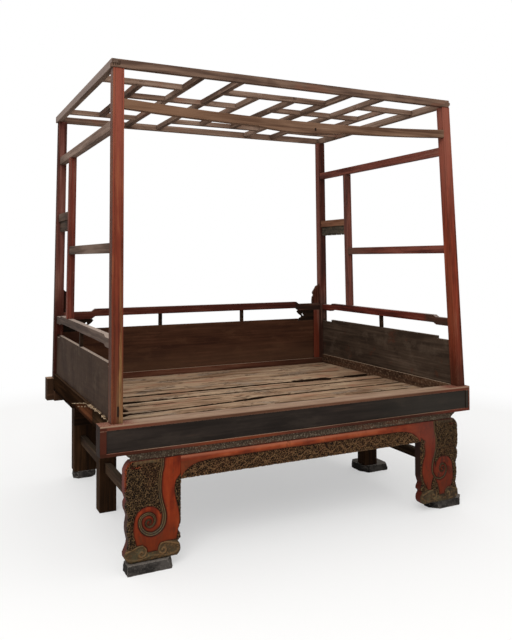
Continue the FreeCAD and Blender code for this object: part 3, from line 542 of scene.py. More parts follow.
def sill_finish():
    """The front sill: a sunk black field in a red-brown border, under a pale worn top, with a painted highlight line
    along the field's upper edge and painted shade in corners.
    """
    p = Paint("sill_front", specular=0.05)
    streak = p.noise((3, 60, 60), 5, 0.6)
    broad = p.noise((2.5, 8, 8), 3)
    fibre = p.noise((14, 400, 400), 3)
    speck = p.noise(150, 4, 0.7)
    tone = p.plus(p.times(streak, 0.5), p.times(broad, 0.5))
    middle = (SILL_LOW + SILL_TOP) / 2
    upper = p.two_tone(tone, 0.4, 0.6, (82, 54, 40), (106, 72, 55))
    lower = p.two_tone(tone, 0.4, 0.6, (60, 32, 23), (88, 50, 39))
    border = p.blend(p.window(p.z, middle - 0.01, middle + 0.01), lower, upper)
    at_ends = p.most(p.window(p.x, -0.6, -0.95), p.window(p.x, 0.7, 0.95))
    border = p.coats(
        border,
        (0.65, (104, 50, 37), at_ends),
        (0.8, (60, 28, 19), (p.x, SILL_LEFT + 0.034, SILL_LEFT + 0.026)),
        (0.6, (122, 58, 32), (p.x, -0.62, -0.15, 0.12), (p.z, SILL_LOW + 0.022, SILL_LOW + 0.012)),
        (0.85, (54, 28, 18), (p.x, -0.68, -0.82), (p.z, SILL_LOW + 0.022, SILL_LOW + 0.012)),
        (0.5, (56, 28, 20), (speck, 0.55, 0.7)),
    )
    field = p.two_tone(tone, 0.36, 0.62, (31, 26, 23), (46, 39, 35))
    cloudy = p.noise((5, 9, 14), 5, 0.65)
    field = p.coats(
        field,
        (0.5, (54, 51, 46), (p.x, 0.2, 0.8)),
        (0.3, (62, 54, 47), (cloudy, 0.52, 0.68)),
        (0.3, (66, 50, 40), (streak, 0.60, 0.70), (p.x, 0.6, 0.0)),
    )
    inner_x = (p.x, SILL_LEFT + 0.029, SILL_RIGHT - 0.010, 0.0012)
    inner_z = (p.z, SILL_LOW + 0.0155, SILL_TOP - 0.0215, 0.0012)
    front = p.blend(p.mask(inner_x, inner_z), border, field)
    front = p.coats(
        front,
        # a painted highlight line along the upper edge of the black field
        (0.5, (140, 110, 92), (p.z, SILL_TOP - 0.0235, SILL_TOP - 0.0195, 0.0008), (speck, 0.40, 0.55)),
        (1.0, (146, 118, 98), (p.z, SILL_TOP - 0.009, SILL_TOP - 0.005)),
    )
    end = p.two_tone(tone, 0.4, 0.6, (22, 11, 5), (36, 20, 11))
    colour = p.blend(p.window(p.math("ABSOLUTE", p.facing_x), 0.6, 0.9), front, end)
    worn = p.two_tone(tone, 0.38, 0.60, (132, 104, 84), (160, 134, 112))
    worn = p.coats(
        worn,
        (0.4, (100, 74, 58), (fibre, 0.5, 0.7)),
        (1.0, (118, 64, 52), (p.math("ABSOLUTE", p.x), 0.84, 0.92), (speck, 0.3, 0.6)),
    )
    colour = p.blend(p.window(p.facing_z, 0.5, 0.85), colour, worn)
    colour = p.coats(
        colour,
        (0.5, (132, 92, 70), p.edge(0.003), (speck, 0.4, 0.6), (p.z, middle, SILL_TOP - 0.02)),
        # painted shade in corners
        (0.6, (20, 13, 10), p.corner_shade(0.02)),
    )
    roughness = p.plus(0.48, p.times(p.plus(streak, speck), 0.18))
    return p.finish(colour, roughness, p.plus(p.times(fibre, 0.5), streak), bump=0.4)


EDGE_WIDTH = 0.0018


def dress(name, material):
    part = nodes[name]
    part.data.materials.clear()
    part.data.materials.append(material)
    soften(part)


def soften(part):
    """Slightly softened edges."""
    weld = part.modifiers.new("weld", "WELD")
    weld.merge_threshold = 0.00002
    soft = part.modifiers.new("soft_edges", "BEVEL")
    soft.width = EDGE_WIDTH
    soft.segments = 2
    soft.limit_method = "ANGLE"
    soft.angle_limit = math.radians(32.0)
    part.modifiers.new("even_shading", "WEIGHTED_NORMAL")


def smooth_line(points, steps=10):
    """Points along a smooth curve through the given ones."""
    known = np.array(points, float)
    padded = np.vstack((known[:1], known, known[-1:]))
    made = []
    for a, b, c, d in zip(padded, padded[1:], padded[2:], padded[3:]):
        for t in np.linspace(0.0, 1.0, steps, endpoint=False):
            made.append(0.5 * ((2 * b) + (c - a) * t + (2 * a - 5 * b + 4 * c - d) * t * t
                               + (3 * b - a - 3 * c + d) * t ** 3))
    made.append(known[-1])
    return np.array(made)


def nearest(line, u, v):
    """For each point, its distance to the line and how far along the line that is, from 0 to 1."""
    best = np.full(u.shape, 1e9)
    where = np.zeros(u.shape)
    lengths = np.hypot(*(line[1:] - line[:-1]).T)
    total = max(lengths.sum(), 1e-9)
    done = 0.0
    for a, b, length in zip(line[:-1], line[1:], lengths):
        if length < 1e-9:
            continue
        way = (b - a) / length
        t = np.clip((u - a[0]) * way[0] + (v - a[1]) * way[1], 0.0, length)
        d = np.hypot(u - a[0] - t * way[0], v - a[1] - t * way[1])
        closer = d < best
        best = np.where(closer, d, best)
        where = np.where(closer, (done + t) / total, where)
        done += length
    return best, where


def depth_inside(outline, u, v):
    """Distance to a closed outline, above zero inside it and below zero outside."""
    line = np.vstack((outline, outline[:1]))
    far, _ = nearest(line, u, v)
    odd = np.zeros(u.shape, bool)
    for (ax, ay), (bx, by) in zip(line[:-1], line[1:]):
        if ay == by:
            continue
        crosses = (ay > v) != (by > v)
        odd ^= crosses & (u < (bx - ax) * (v - ay) / (by - ay) + ax)
    return np.where(odd, far, -far)


def unit(value):
    return np.clip(value, 0.0, 1.0)


def ease(value, low, high):
    """0 at low and 1 at high, smooth between."""
    t = unit((value - low) / (high - low))
    return t * t * (3.0 - 2.0 * t)


def bell(value, width):
    return np.exp(-(value / width) ** 2)


def mix(a, b, share):
    return a * (1.0 - share) + b * share


def follow(at, pairs):
    """The height over a place of the line through the given pairs."""
    return np.interp(at, *zip(*pairs))


def zones(*values):
    """The four values to paint by, at each point."""
    return np.stack(np.broadcast_arrays(*values), axis=-1)


def ripple(u, v, size, seed):
    """A smooth uneven surface from about -1 to 1, for hand work."""
    draw = np.random.default_rng(seed)
    made = np.zeros(np.broadcast(u, v).shape)
    for _ in range(7):
        angle = draw.uniform(0.0, math.tau)
        pitch = size * draw.uniform(0.6, 1.6)
        shift = draw.uniform(0.0, math.tau)
        made = made + np.sin((u * math.cos(angle) + v * math.sin(angle)) * math.tau / pitch + shift)
    return made / 4.0


def foliage(u, v, seed, pitch, low_u, high_u, low_v, high_v):
    """A field of small carved scrolls and leaves, from 0 in the ground to 1 on top."""
    draw = np.random.default_rng(seed)
    made = np.zeros(u.shape)
    row = 0
    for cv in np.arange(low_v, high_v + pitch, pitch * 0.86):
        row += 1
        for cu in np.arange(low_u, high_u + pitch, pitch):
            mu = cu + (row % 2) * pitch * 0.5 + draw.uniform(-0.22, 0.22) * pitch
            mv = cv + draw.uniform(-0.22, 0.22) * pitch
            turn = draw.uniform(0.0, math.tau)
            way = draw.choice((-1.0, 1.0))
            size = pitch * draw.uniform(0.46, 0.62)
            near = (np.abs(u - mu) < size * 1.7) & (np.abs(v - mv) < size * 1.7)
            if not near.any():
                continue
            du, dv = u[near] - mu, v[near] - mv
            far = np.hypot(du, dv)
            t = np.mod(way * (np.arctan2(dv, du) - turn), math.tau) / math.tau
            curl = size * (1.0 - 0.66 * t)
            thick = size * 0.30 * (1.0 - 0.5 * t)
            ridge = np.clip(1.0 - ((far - curl) / thick) ** 2, 0.0, 1.0)
            eye = np.clip(1.0 - (far / (size * 0.20)) ** 2, 0.0, 1.0)
            lu = du - math.cos(turn) * size * 1.1
            lv = dv - math.sin(turn) * size * 1.1
            cross = -math.sin(turn + way) * lu + math.cos(turn + way) * lv
            on = math.cos(turn + way) * lu + math.sin(turn + way) * lv
            leaf = np.clip(1.0 - (on / (size * 0.75)) ** 2 - (cross / (size * 0.28)) ** 2, 0.0, 1.0)
            vein = 1.0 - 0.35 * np.exp(-(cross / (size * 0.06)) ** 2)
            made[near] = np.maximum.reduce((made[near], ridge, eye, leaf * vein * 0.9))
    return np.sqrt(made)


RIM_SHARE = 0.04
X, Y, Z = np.eye(3)


def slab(name, node, slot, material, rows, lows, highs, columns, origin, ways, front, back, sides=4):
    """A closed slab with a worked front, in millimetres from its origin, in the place of the node.

    rows are the places along it, lows and highs its two sides at each row. front gives, for all points, the depth
    of the front and four values to paint by. ways are the directions across, along and into the slab.
    """

    def place(*parts):
        return np.array(origin) + np.stack(parts, axis=-1) @ np.array(ways) * MM

    u = lows[:, None] + (highs - lows)[:, None] * np.linspace(0.0, 1.0, columns)
    v = np.repeat(rows[:, None], columns, axis=1)
    depth, paint = front(u, v)
    count = len(rows)
    index = np.arange(count * columns).reshape(count, columns)
    ring = np.concatenate((index[0, :], index[1:, -1], index[-1, -2::-1], index[-2:0:-1, 0]))
    flat_u, flat_v, flat_depth = u.ravel(), v.ravel(), depth.ravel()
    flat_paint = paint.reshape(-1, 4)
    points = [place(flat_u, flat_v, flat_depth)]
    paints = [flat_paint]
    side = [np.zeros(len(flat_u))]
    levels = [RIM_SHARE] + [step / sides for step in range(1, sides + 1)]
    for share in levels:
        level = flat_depth[ring] + (back - flat_depth[ring]) * share
        points.append(place(flat_u[ring], flat_v[ring], level))
        paints.append(flat_paint[ring])
        side.append(np.ones(len(ring)))
    quads = np.stack((index[:-1, :-1], index[:-1, 1:], index[1:, 1:], index[1:, :-1]), axis=-1).reshape(-1, 4)
    faces = quads.tolist()
    previous = ring
    for step in range(len(levels)):
        current = count * columns + step * len(ring) + np.arange(len(ring))
        band = (previous, np.roll(previous, -1), np.roll(current, -1), current)
        faces += np.stack(band, axis=-1).tolist()
        previous = current
    faces.append(previous.tolist())
    made = make_piece(name, np.vstack(points), faces)
    painted = made.data.color_attributes.new("zones", "FLOAT_COLOR", "POINT")
    painted.data.foreach_set("color", np.vstack(paints).astype(np.float32).ravel())
    flank = made.data.attributes.new("flank", "FLOAT", "POINT")
    flank.data.foreach_set("value", np.concatenate(side).astype(np.float32))
    settle(made, material, slot, node)


def make_piece(name, points, faces, sharp=38.0):
    mesh = bpy.data.meshes.new(name)
    mesh.from_pydata(points.tolist(), [], faces)
    work = bmesh.new()
    work.from_mesh(mesh)
    bmesh.ops.recalc_face_normals(work, faces=work.faces)
    work.to_mesh(mesh)
    work.free()
    mesh.polygons.foreach_set("use_smooth", [True] * len(mesh.polygons))
    mesh.set_sharp_from_angle(angle=math.radians(sharp))
    made = bpy.data.objects.new(name, mesh)
    bpy.context.scene.collection.objects.link(made)
    return made


def settle(piece, material, slot, *replaced):
    piece.data.materials.append(material)
    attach(piece, "root")
    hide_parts(*replaced)


# The carved front legs, in millimetres from the outer side and from the floor
LEG_WIDTH = 260.0
LEG_FOOT = 45.0
LEG_TOP = 487.0
LEG_OUTER = [
    (45, 26), (55, 12), (71, 1), (88, 0), (105, 8), (125, 16), (141, 18), (160, 14), (180, 10), (195, 9),
    (215, 10), (232, 13), (246, 15), (262, 11), (275, 5), (288, 2), (307, 2), (316, 6), (322, 9), (332, 6),
    (346, 1), (380, 0), (450, 1), (462, 6), (475, 14), (487, 27),
]
LEG_INNER = [
    (45, 240), (52, 250), (64, 258), (76, 260), (90, 258), (102, 251), (110, 246), (118, 252), (125, 260),
    (140, 258), (152, 250), (159, 248), (175, 254), (194, 260), (487, 260),
]
LEG_LINE = [
    (172, 491), (170, 449), (163, 422), (160, 390), (159, 358), (161, 326), (166, 299), (173, 272), (179, 245),
    (180, 222), (175, 197), (164, 178), (145, 165), (124, 160), (102, 165), (83, 179), (71, 199), (68, 222),
    (75, 240), (92, 250), (111, 251), (128, 242), (136, 226), (134, 208), (124, 196), (109, 194), (97, 203),
    (95, 216), (104, 225), (115, 222), (117, 212), (110, 207),
]
LEG_LINE_WIDTH = [(0.0, 9.0), (0.30, 8.5), (0.42, 11.0), (0.55, 9.5), (0.75, 7.0), (0.9, 4.5), (1.0, 3.0)]
RIGHT_LINE = [
    (168, 491), (165, 449), (162, 426), (155, 404), (154, 358), (160, 322), (170, 290), (179, 263), (183, 231),
    (180, 208), (162, 181), (148, 174), (130, 171), (105, 179), (89, 201), (87, 226), (98, 244), (114, 249),
    (128, 239), (131, 222), (120, 209), (107, 214), (106, 226), (115, 230),
]
RIGHT_LINE_WIDTH = [(0.0, 5.5), (0.5, 5.5), (0.8, 4.5), (1.0, 3.0)]
CLOUD = [(79, 119), (97, 104), (102, 84), (149, 84), (154, 104), (163, 117), (192, 119)]
RIGHT_RED = [
    (168, 495), *RIGHT_LINE[1:6], (169, 290), (167, 262), (162, 240), (157, 263), (139, 284), (115, 292), (94, 292),
    (70, 283), (55, 267), (46, 250), (43, 231), (39, 195), (39, 163), (45, 140), (58, 119), *CLOUD, (214, 119),
    (228, 140), (244, 170), (255, 215), (254, 250), (246, 281), (237, 304), (233, 330), (239, 358), (233, 385),
    (249, 396), (262, 405), (270, 495),
]
RIGHT_WEDGE = [
    (176, 188), (162, 168), (147, 140), (139, 110), (137, 82), (175, 82), (190, 110), (192, 135), (187, 160),
]
LEG_RED = [
    (172, 495), *LEG_LINE[1:7], (170, 272), (169, 249), (163, 245), (158, 258), (145, 272), (124, 283), (102, 286),
    (77, 279), (56, 265), (45, 245), (39, 217), (37, 190), (40, 163), (47, 140), (52, 119), *CLOUD, (238, 119),
    (242, 140), (249, 167), (254, 194), (253, 226), (248, 254), (241, 281), (234, 308), (229, 335), (231, 360),
    (237, 380), (249, 392), (262, 405), (270, 495),
]
FOOT_TOP = [
    (-5, 104), (6, 106), (33, 108), (52, 118), (79, 120), (97, 104), (102, 84), (149, 84), (154, 104), (163, 117),
    (192, 120), (238, 116), (262, 100),
]
FOOT_CURL = [
    (4, 97), (33, 107), (60, 115), (80, 115), (93, 105), (97, 90), (91, 75), (78, 68), (66, 73), (65, 86),
    (75, 92), (82, 85),
]
FOOT_HEM = [(2, 76), (22, 62), (60, 58), (100, 64), (126, 68)]
FOOT_MIDDLE = 251.0
LEG_STEP = 1.6


def rounded(share):
    """How far a face falls away towards its edge, from 1 at the edge to 0 at the full share."""
    return 1.0 - np.sqrt(np.clip(1.0 - (1.0 - unit(share)) ** 2, 0.0, 1.0))


def leg_front(seed, line_points, widths, red_points, wedge, cords):
    """The worked face of a carved leg: leaf relief, a smooth red band that rolls into a volute, and a cloud foot."""

    def front(u, v):
        to_line, on_line = nearest(smooth_line(line_points), u, v)
        half = follow(on_line, widths)
        red_in = depth_inside(np.array(red_points, float), u, v)
        if wedge:
            red_in = np.minimum(red_in, -depth_inside(np.array(wedge, float), u, v))
        outer = follow(v, LEG_OUTER)
        inner = follow(v, LEG_INNER)
        in_foot = ease(follow(u, FOOT_TOP) - v, -1.0, 1.5)
        on_red = ease(red_in, -0.8, 1.6) * (1.0 - in_foot)
        in_line = ease(half - to_line, -0.8, 0.8) * (1.0 - in_foot)
        on_red = on_red * (1.0 - in_line)
        leaves = foliage(u, v, seed, 14.0, 0.0, LEG_WIDTH, LEG_FOOT, LEG_TOP)
        ground = 8.0 - 6.0 * leaves + 0.6 * ripple(u, v, 40.0, seed + 1)
        to_band = np.minimum(np.clip(red_in, 0.0, None), np.clip(to_line - half, 0.0, None))
        red_face = 1.0 + 5.0 * rounded(to_band / 20.0) + 0.35 * ripple(u, v, 60.0, seed + 2)
        across = to_line / np.maximum(half, 0.1)
        cord = bell(across - cords, 0.26)
        line_face = 6.4 - 3.6 * cord
        depth = ground * (1.0 - on_red - in_line) + red_face * on_red + line_face * in_line
        cut = bell(red_in, 1.8) + bell(to_line - half, 1.4)
        depth = depth + 1.8 * unit(cut) * (1.0 - in_foot)
        curl = smooth_line(FOOT_CURL)
        mirrored = FOOT_MIDDLE - u
        to_curl = np.minimum(nearest(curl, u, v)[0], nearest(curl, mirrored, v)[0])
        hem = smooth_line(FOOT_HEM)
        to_hem = np.minimum(nearest(hem, u, v)[0], nearest(hem, mirrored, v)[0])
        ridge = np.maximum(bell(to_curl, 4.4), 0.6 * bell(to_hem, 4.0))
        foot_face = 6.5 - 4.8 * ridge + 0.9 * ripple(u, v, 22.0, seed + 3)
        depth = mix(depth, foot_face, in_foot)
        uneven = 3.0 * ripple(u, u * 0.0, 50.0, seed + 4)
        rim = ease(v - uneven, 469.0, 474.0) * (1.0 - ease(u, 150.0, 165.0)) * ease(u, 30.0, 50.0)
        rim_face = 1.5 + 2.5 * ((v - 480.0) / 8.0) ** 2 + 0.8 * np.sin(u * math.tau / 21.0)
        depth = mix(depth, rim_face, rim)
        # towards the apron the face goes back to the apron's own
        depth = depth + 7.5 * ease(u, 196.0, 258.0) * ease(v, 360.0, 410.0)
        to_side = np.minimum(u - outer, inner - u)
        inner_open = ease(375.0 - v, 0.0, 12.0)
        to_side = np.where(inner - u < u - outer, to_side + 20.0 * (1.0 - inner_open), to_side)
        to_side = np.minimum(to_side, v - LEG_FOOT)
        depth = depth + 9.0 * rounded(to_side / 9.0)
        patchy = 0.5 + 0.5 * ripple(u, v, 26.0, seed + 6)
        shoulder = np.exp(-(((u - 48.0) / 30.0) ** 2 + ((v - 460.0) / 9.0) ** 2)) * (0.5 + 0.5 * patchy)
        along_side = ease(14.0 - (u - outer), 0.0, 12.0) * ease(v, 330.0, 380.0)
        spots = ease(np.maximum(shoulder, 0.8 * along_side), 0.3, 0.8)
        red_paint = unit(on_red + 0.8 * spots * (1.0 - rim))
        olive = unit(in_foot + rim * (0.5 + 0.5 * patchy))
        # on the foot, high follows the raised rims, for their lighter colour and the painted relief shading between
        # them
        high = np.where(in_foot > 0.5, 0.25 + 0.6 * ridge, np.where(in_line > 0.5, cord, leaves))
        high = np.where(rim > 0.5, 0.5 + 0.08 * np.sin(u * math.tau / 21.0), high)
        # on the red band, high is the distance in from its edges, for painted shade where it rounds off
        high = np.where(on_red > 0.5, unit(to_band / 14.0), high)
        return np.clip(depth, 0.0, 24.0), zones(red_paint, in_line, olive, high)

    return front


LEG_FACE = -0.7235
LEG_DEEP = 55.0
LEFT_LEG_OUTSIDE = -0.920
RIGHT_LEG_OUTSIDE = 0.970


def make_leg(name, node, outside, way, worked, material):
    """A carved front leg. way is 1 where it runs to the right from its outer side, and -1 to the left."""
    rows = np.arange(LEG_FOOT, LEG_TOP + 0.1, LEG_STEP)
    rows[-1] = LEG_TOP
    lows = follow(rows, LEG_OUTER)
    highs = follow(rows, LEG_INNER)
    columns = int(LEG_WIDTH / LEG_STEP)
    origin = (outside, LEG_FACE, 0.0)
    slab(
        name, node, "carved_lacquer", material, rows, lows, highs, columns, origin, (way * X, Z, Y), worked, LEG_DEEP,
    )


# The carved apron, in millimetres from its left end and from the floor
APRON_START = -0.660
APRON_LENGTH = 1370.0
APRON_LOW = 380.0
APRON_HIGH = 487.0
APRON_FACE = -0.7155
APRON_DEEP = 34.0
APRON_ARCH = [(-4, 376), (15, 404), (39, 425), (62, 437), (90, 445), (130, 449), (190, 451)]
APRON_STEP = 2.0


def apron_front(v, u):
    """The face of the apron, over height and length: a leafy field with a stem, under a smooth red arch."""
    end = np.minimum(u, APRON_LENGTH - u)
    arch = follow(end, APRON_ARCH) + 0.8 * ripple(u, np.zeros_like(v), 160.0, 31)
    over = v - arch
    on_red = ease(over, -1.0, 1.2)
    leaves = foliage(u, v, 33, 14.0, 0.0, APRON_LENGTH, APRON_LOW - 4.0, 452.0)
    stem_at = 415.0 + 12.0 * np.sin(u * math.tau / 92.0)
    stem = np.clip(1.0 - ((v - stem_at) / 3.2) ** 2, 0.0, 1.0)
    high = np.maximum(leaves, 0.9 * np.sqrt(stem))
    ground = 8.0 - 6.2 * high
    bulge = unit(over / 10.0) * np.clip((APRON_HIGH - v) / 10.0, 0.0, 1.0)
    red_face = 0.5 + 3.0 * (1.0 - np.sqrt(unit(bulge))) + 0.3 * ripple(u, v, 90.0, 35)
    depth = mix(ground, red_face, on_red) + 1.8 * bell(over, 2.0)
    hem = bell(v - APRON_LOW - 4.0, 2.6)
    depth = mix(depth, 1.5, hem)
    depth = depth + 3.0 * (1.0 - np.clip((v - APRON_LOW) / 3.0, 0.0, 1.0)) ** 2
    # on the red band, high is the distance in from its edges, for painted shade where it rounds off
    high = np.where(on_red > 0.5, unit(np.minimum(over, APRON_HIGH - v) / 9.0), high)
    return np.clip(depth, 0.0, 16.0), zones(on_red, 0.0, 0.3 * hem, high)


def make_apron(material):
    rows = np.linspace(0.0, APRON_LENGTH, int(APRON_LENGTH / APRON_STEP))
    columns = int((APRON_HIGH - APRON_LOW) / APRON_STEP) + 1
    lows = np.full(len(rows), APRON_LOW) + 0.8 * ripple(rows, np.zeros_like(rows), 120.0, 37)
    lows = np.maximum(lows, APRON_LOW)
    highs = np.full(len(rows), APRON_HIGH)
    origin = (APRON_START, APRON_FACE, 0.0)
    slab(
        "carved_apron_face", "carved_apron", "carved_lacquer", material, rows, lows, highs, columns, origin,
        (Z, X, Y), apron_front, APRON_DEEP,
    )


# The waist, a thin strip of upright petals between the apron and the sill, in millimetres
WAIST_FACE = -0.7115
WAIST_DEEP = 14.0
WAIST_LEFT = [(487, -893), (502, -893), (507, -903), (514, -910), (527, -910)]
WAIST_RIGHT = [(487, 926), (496, 932), (508, 948), (516, 960), (527, 960)]
PETAL_PITCH = 16.0
WAIST_LOW = 487.0
WAIST_HIGH = 527.0
WAIST_ROWS = 26
WAIST_COLUMNS = 1180


def waist_front(u, v):
    """Upright petals, each with a raised rim and a rib."""
    number = np.floor(u / PETAL_PITCH)
    across = np.abs(u / PETAL_PITCH - number - 0.5) * 2.0
    up = (v - WAIST_LOW - 2.0) / 34.0
    edge = np.sqrt(unit(1.0 - np.clip(up, 0.0, 1.0) ** 3.0)) * 0.94
    inside = edge - across
    petal = ease(inside, 0.0, 0.16) * ease(up, -0.05, 0.06)
    rim = bell(inside - 0.13, 0.09)
    rib = bell(across, 0.12) * ease(0.75 - up, 0.0, 0.3)
    high = unit(0.4 * petal + 0.45 * rim * petal + 0.3 * rib * petal)
    high = high * (0.75 + 0.25 * ripple(u, v, 30.0, 43))
    depth = 5.5 - 4.2 * high + 0.5 * ripple(u, v, 18.0, 41)
    return np.clip(depth, 0.0, 9.0), zones(0.0, 1.0, 0.0, high)


def make_waist(material):
    rows = np.linspace(WAIST_LOW, WAIST_HIGH, WAIST_ROWS)
    lows = follow(rows, WAIST_LEFT)
    highs = follow(rows, WAIST_RIGHT)
    origin = (0.0, WAIST_FACE, 0.0)
    slab(
        "waist_petals", "waist_strip", "carved_lacquer", material, rows, lows, highs, WAIST_COLUMNS, origin,
        (X, Z, Y), waist_front, WAIST_DEEP, sides=1,
    )


def carved_finish(name, streak_scale, red_dark, red_middle, red_light, leaf_dark, leaf_light, rolled_light_and_shade=0.0):
    """Red lacquer, dark leaf relief with rests of gilding, and olive clouds, by the zones of the mesh, with painted
    highlight and shade on the rounded red bands, painted relief shading on the clouds and painted shade in hollows.
    """
    p = Paint(name, specular=0.10)
    red_zone, line_zone, olive_zone, high = p.zones()
    flank = p.add("Attribute", attribute_name="flank").outputs["Fac"]
    streak = p.noise(streak_scale, 5.0, 0.6)
    broad = p.noise((9, 9, 7), 3)
    speck = p.noise(330, 3, 0.7)
    fleck = p.noise(150, 2, 0.5)
    worn = p.noise((30, 30, 16), 5, 0.65)
    tone = p.plus(p.times(streak, 0.45), p.times(broad, 0.55))
    red = p.two_tone(tone, 0.38, 0.52, red_dark, red_middle)
    in_middle = p.window(p.math("ABSOLUTE", p.plus(p.x, 0.2)), 0.80, 0.55)
    red = p.coats(
        red,
        (1.0, red_light, (tone, 0.50, 0.64)),
        # a painted highlight along the top of the rounded red band, and painted shade below it, in its middle part
        (rolled_light_and_shade, (172, 104, 78), (p.z, 0.466, 0.484), in_middle),
        (rolled_light_and_shade, (98, 46, 24), (p.z, 0.468, 0.454), in_middle),
        (0.4, (104, 38, 25), (p.x, 0.0, 0.7)),
        (0.5, (96, 42, 17), (p.z, 0.30, 0.10)),
        # painted shade where the rounded red band falls away at its edges
        (1.0, (76, 26, 13), (high, 0.6, 0.0)),
        (0.5, (72, 42, 24), (worn, 0.56, 0.68)),
        (0.35, (72, 30, 16), (speck, 0.56, 0.72)),
        (0.45, (70, 27, 19), (p.x, 0.60, 0.90)),
        (0.6, (44, 26, 20), (p.x, 0.60, 0.80), (worn, 0.47, 0.36)),
        (0.5, (104, 56, 46), (p.x, 0.55, 0.75), (p.z, 0.30, 0.42)),
    )
    leaf = p.two_tone(high, 0.3, 0.8, leaf_dark, leaf_light)
    leaf = p.coats(
        leaf,
        (0.3, (84, 46, 28), (broad, 0.52, 0.66)),
        (0.6, (126, 100, 62), (fleck, 0.50, 0.62), (high, 0.55, 0.9)),
    )
    line = p.two_tone(high, 0.0, 1.0, (60, 45, 31), (98, 79, 54))
    line = p.coats(
        line,
        (0.5, (92, 66, 42), (p.z, 0.26, 0.36)),
        (0.5, (60, 58, 52), (worn, 0.50, 0.64)),
        (0.7, (140, 118, 72), (fleck, 0.57, 0.65), (high, 0.4, 0.8)),
    )
    # lighter on the raised rims and darker between them: worn rims and painted relief shading
    olive = p.two_tone(high, 0.15, 0.85, (66, 52, 35), (106, 80, 52))
    olive = p.coats(
        olive,
        (0.5, (70, 68, 50), (worn, 0.5, 0.62)),
        (0.35, (138, 100, 60), (fleck, 0.56, 0.66)),
        (0.75, (34, 28, 22), (p.x, 0.60, 0.80), (worn, 0.58, 0.42)),
    )
    colour = p.blend(line_zone, leaf, line)
    colour = p.blend(olive_zone, colour, olive)
    colour = p.blend(red_zone, colour, red)
    side_low = p.two_tone(broad, 0.4, 0.6, (52, 30, 20), (80, 38, 28))
    side_high = p.two_tone(broad, 0.4, 0.6, (84, 34, 28), (112, 54, 44))
    side_colour = p.blend(p.window(p.z, 0.22, 0.34), side_low, side_high)
    inner_colour = p.two_tone(p.z, 0.22, 0.10, (38, 20, 13), (82, 32, 20))
    side_colour = p.blend(p.mask((p.x, 0.2, 0.4), (p.facing_x, -0.2, -0.5)), side_colour, inner_colour)
    colour = p.blend(p.mask(flank, (p.facing_y, -0.75, -0.4)), colour, side_colour)
    # painted shade in hollows and corners
    colour = p.coats(colour, (0.8, (22, 14, 9), p.corner_shade(0.012)))
    roughness = p.plus(0.45, p.times(p.plus(speck, streak), 0.2))
    height = p.plus(p.times(speck, 0.5), p.times(streak, 0.6))
    return p.finish(colour, roughness, height, bump=0.4, deep=0.0008)


def waist_finish():
    """Grey-green petals with many small pale specks of worn gilding."""
    p = Paint("waist_paint", specular=0.08)
    *_, high = p.zones()
    broad = p.noise((6, 9, 30), 3)
    grain = p.noise(190, 3, 0.6)
    colour = p.two_tone(high, 0.2, 0.9, (82, 66, 54), (130, 116, 99))
    colour = p.coats(
        colour,
        (0.5, (120, 72, 50), (broad, 0.50, 0.66)),
        (0.75, (172, 160, 136), (grain, 0.56, 0.66)),
        (0.6, (38, 30, 23), (grain, 0.44, 0.34)),
    )
    return p.finish(colour, p.plus(0.55, p.times(grain, 0.2)), grain, bump=0.4, deep=0.0008)


# The left sill, whose outer top edge is broken away over its front part
LEFT_SILL_FACE = -0.982
LEFT_SILL_DEEP = 45.0
LEFT_SILL_LOW = 561.0
LEFT_SILL_HIGH = 661.0
LEFT_SILL_END = 689.5
BROKEN_TO = -262.0
SPLIT_TO = 124.0
SPLIT_LOW = 584.0
SPLIT_DEEP = 22.0
LEFT_SILL_ROWS = 640
LEFT_SILL_COLUMNS = 64


def left_sill_front(u, v):
    """The outer face of the left sill: its front part has split away under a thin splintered top edge."""
    rough = 2.0 * ripple(v, u * 0.3, 34.0, 143)
    top_of_split = SPLIT_LOW + (SPLIT_TO - v) / (SPLIT_TO - BROKEN_TO) * (LEFT_SILL_HIGH - SPLIT_LOW)
    lip_low = LEFT_SILL_HIGH - 8.0 - 4.0 * np.clip(ripple(v, v * 0.0, 90.0, 141), -1.0, 1.0) - 1.5 * rough
    line = np.where(v < BROKEN_TO, lip_low, np.minimum(top_of_split + rough, lip_low))
    there = ease(SPLIT_TO - v, 0.0, 10.0)
    split = there * ease(line - u, -0.8, 0.8)
    fringe = unit(0.5 + 0.5 * ripple(v, v * 0.0, 26.0, 147))
    ragged = unit(0.5 + 0.5 * ripple(v * 0.5, u * 2.0, 11.0, 145))
    front_part = ease(BROKEN_TO - v, 0.0, 20.0)
    depth = 0.8 + 0.8 * ripple(v, u, 180.0, 149)
    depth = depth + front_part * (2.0 + 9.0 * fringe + 2.0 * ragged)
    depth = mix(depth, SPLIT_DEEP + 1.5 * ripple(v, u, 70.0, 151), split)
    strokes = unit(0.5 + 0.5 * ripple(v, u * 0.4, 60.0, 153))
    near_line = bell(u - line - 1.5, 4.0) * there
    second = bell(u - line + 16.0, 3.6) * there * (1.0 - front_part) * ease(strokes, 0.42, 0.5)
    pale = near_line * ease(strokes, 0.12, 0.35) + second
    pale = pale + front_part * (1.0 - split) * ease(strokes * 0.6 + ragged * 0.4, 0.36, 0.5)
    return np.clip(depth, 0.0, 26.0), zones(split * (1.0 - front_part), 0.0, split, unit(pale))


def make_left_sill(material):
    rows = np.linspace(-LEFT_SILL_END, LEFT_SILL_END, LEFT_SILL_ROWS)
    lows = np.full(len(rows), LEFT_SILL_LOW)
    highs = np.full(len(rows), LEFT_SILL_HIGH)
    origin = (LEFT_SILL_FACE, 0.0, 0.0)
    slab(
        "left_sill_broken", "left_sill", "sill_lacquer", material, rows, lows, highs, LEFT_SILL_COLUMNS, origin,
        (Z, Y, X), left_sill_front, LEFT_SILL_DEEP,
    )


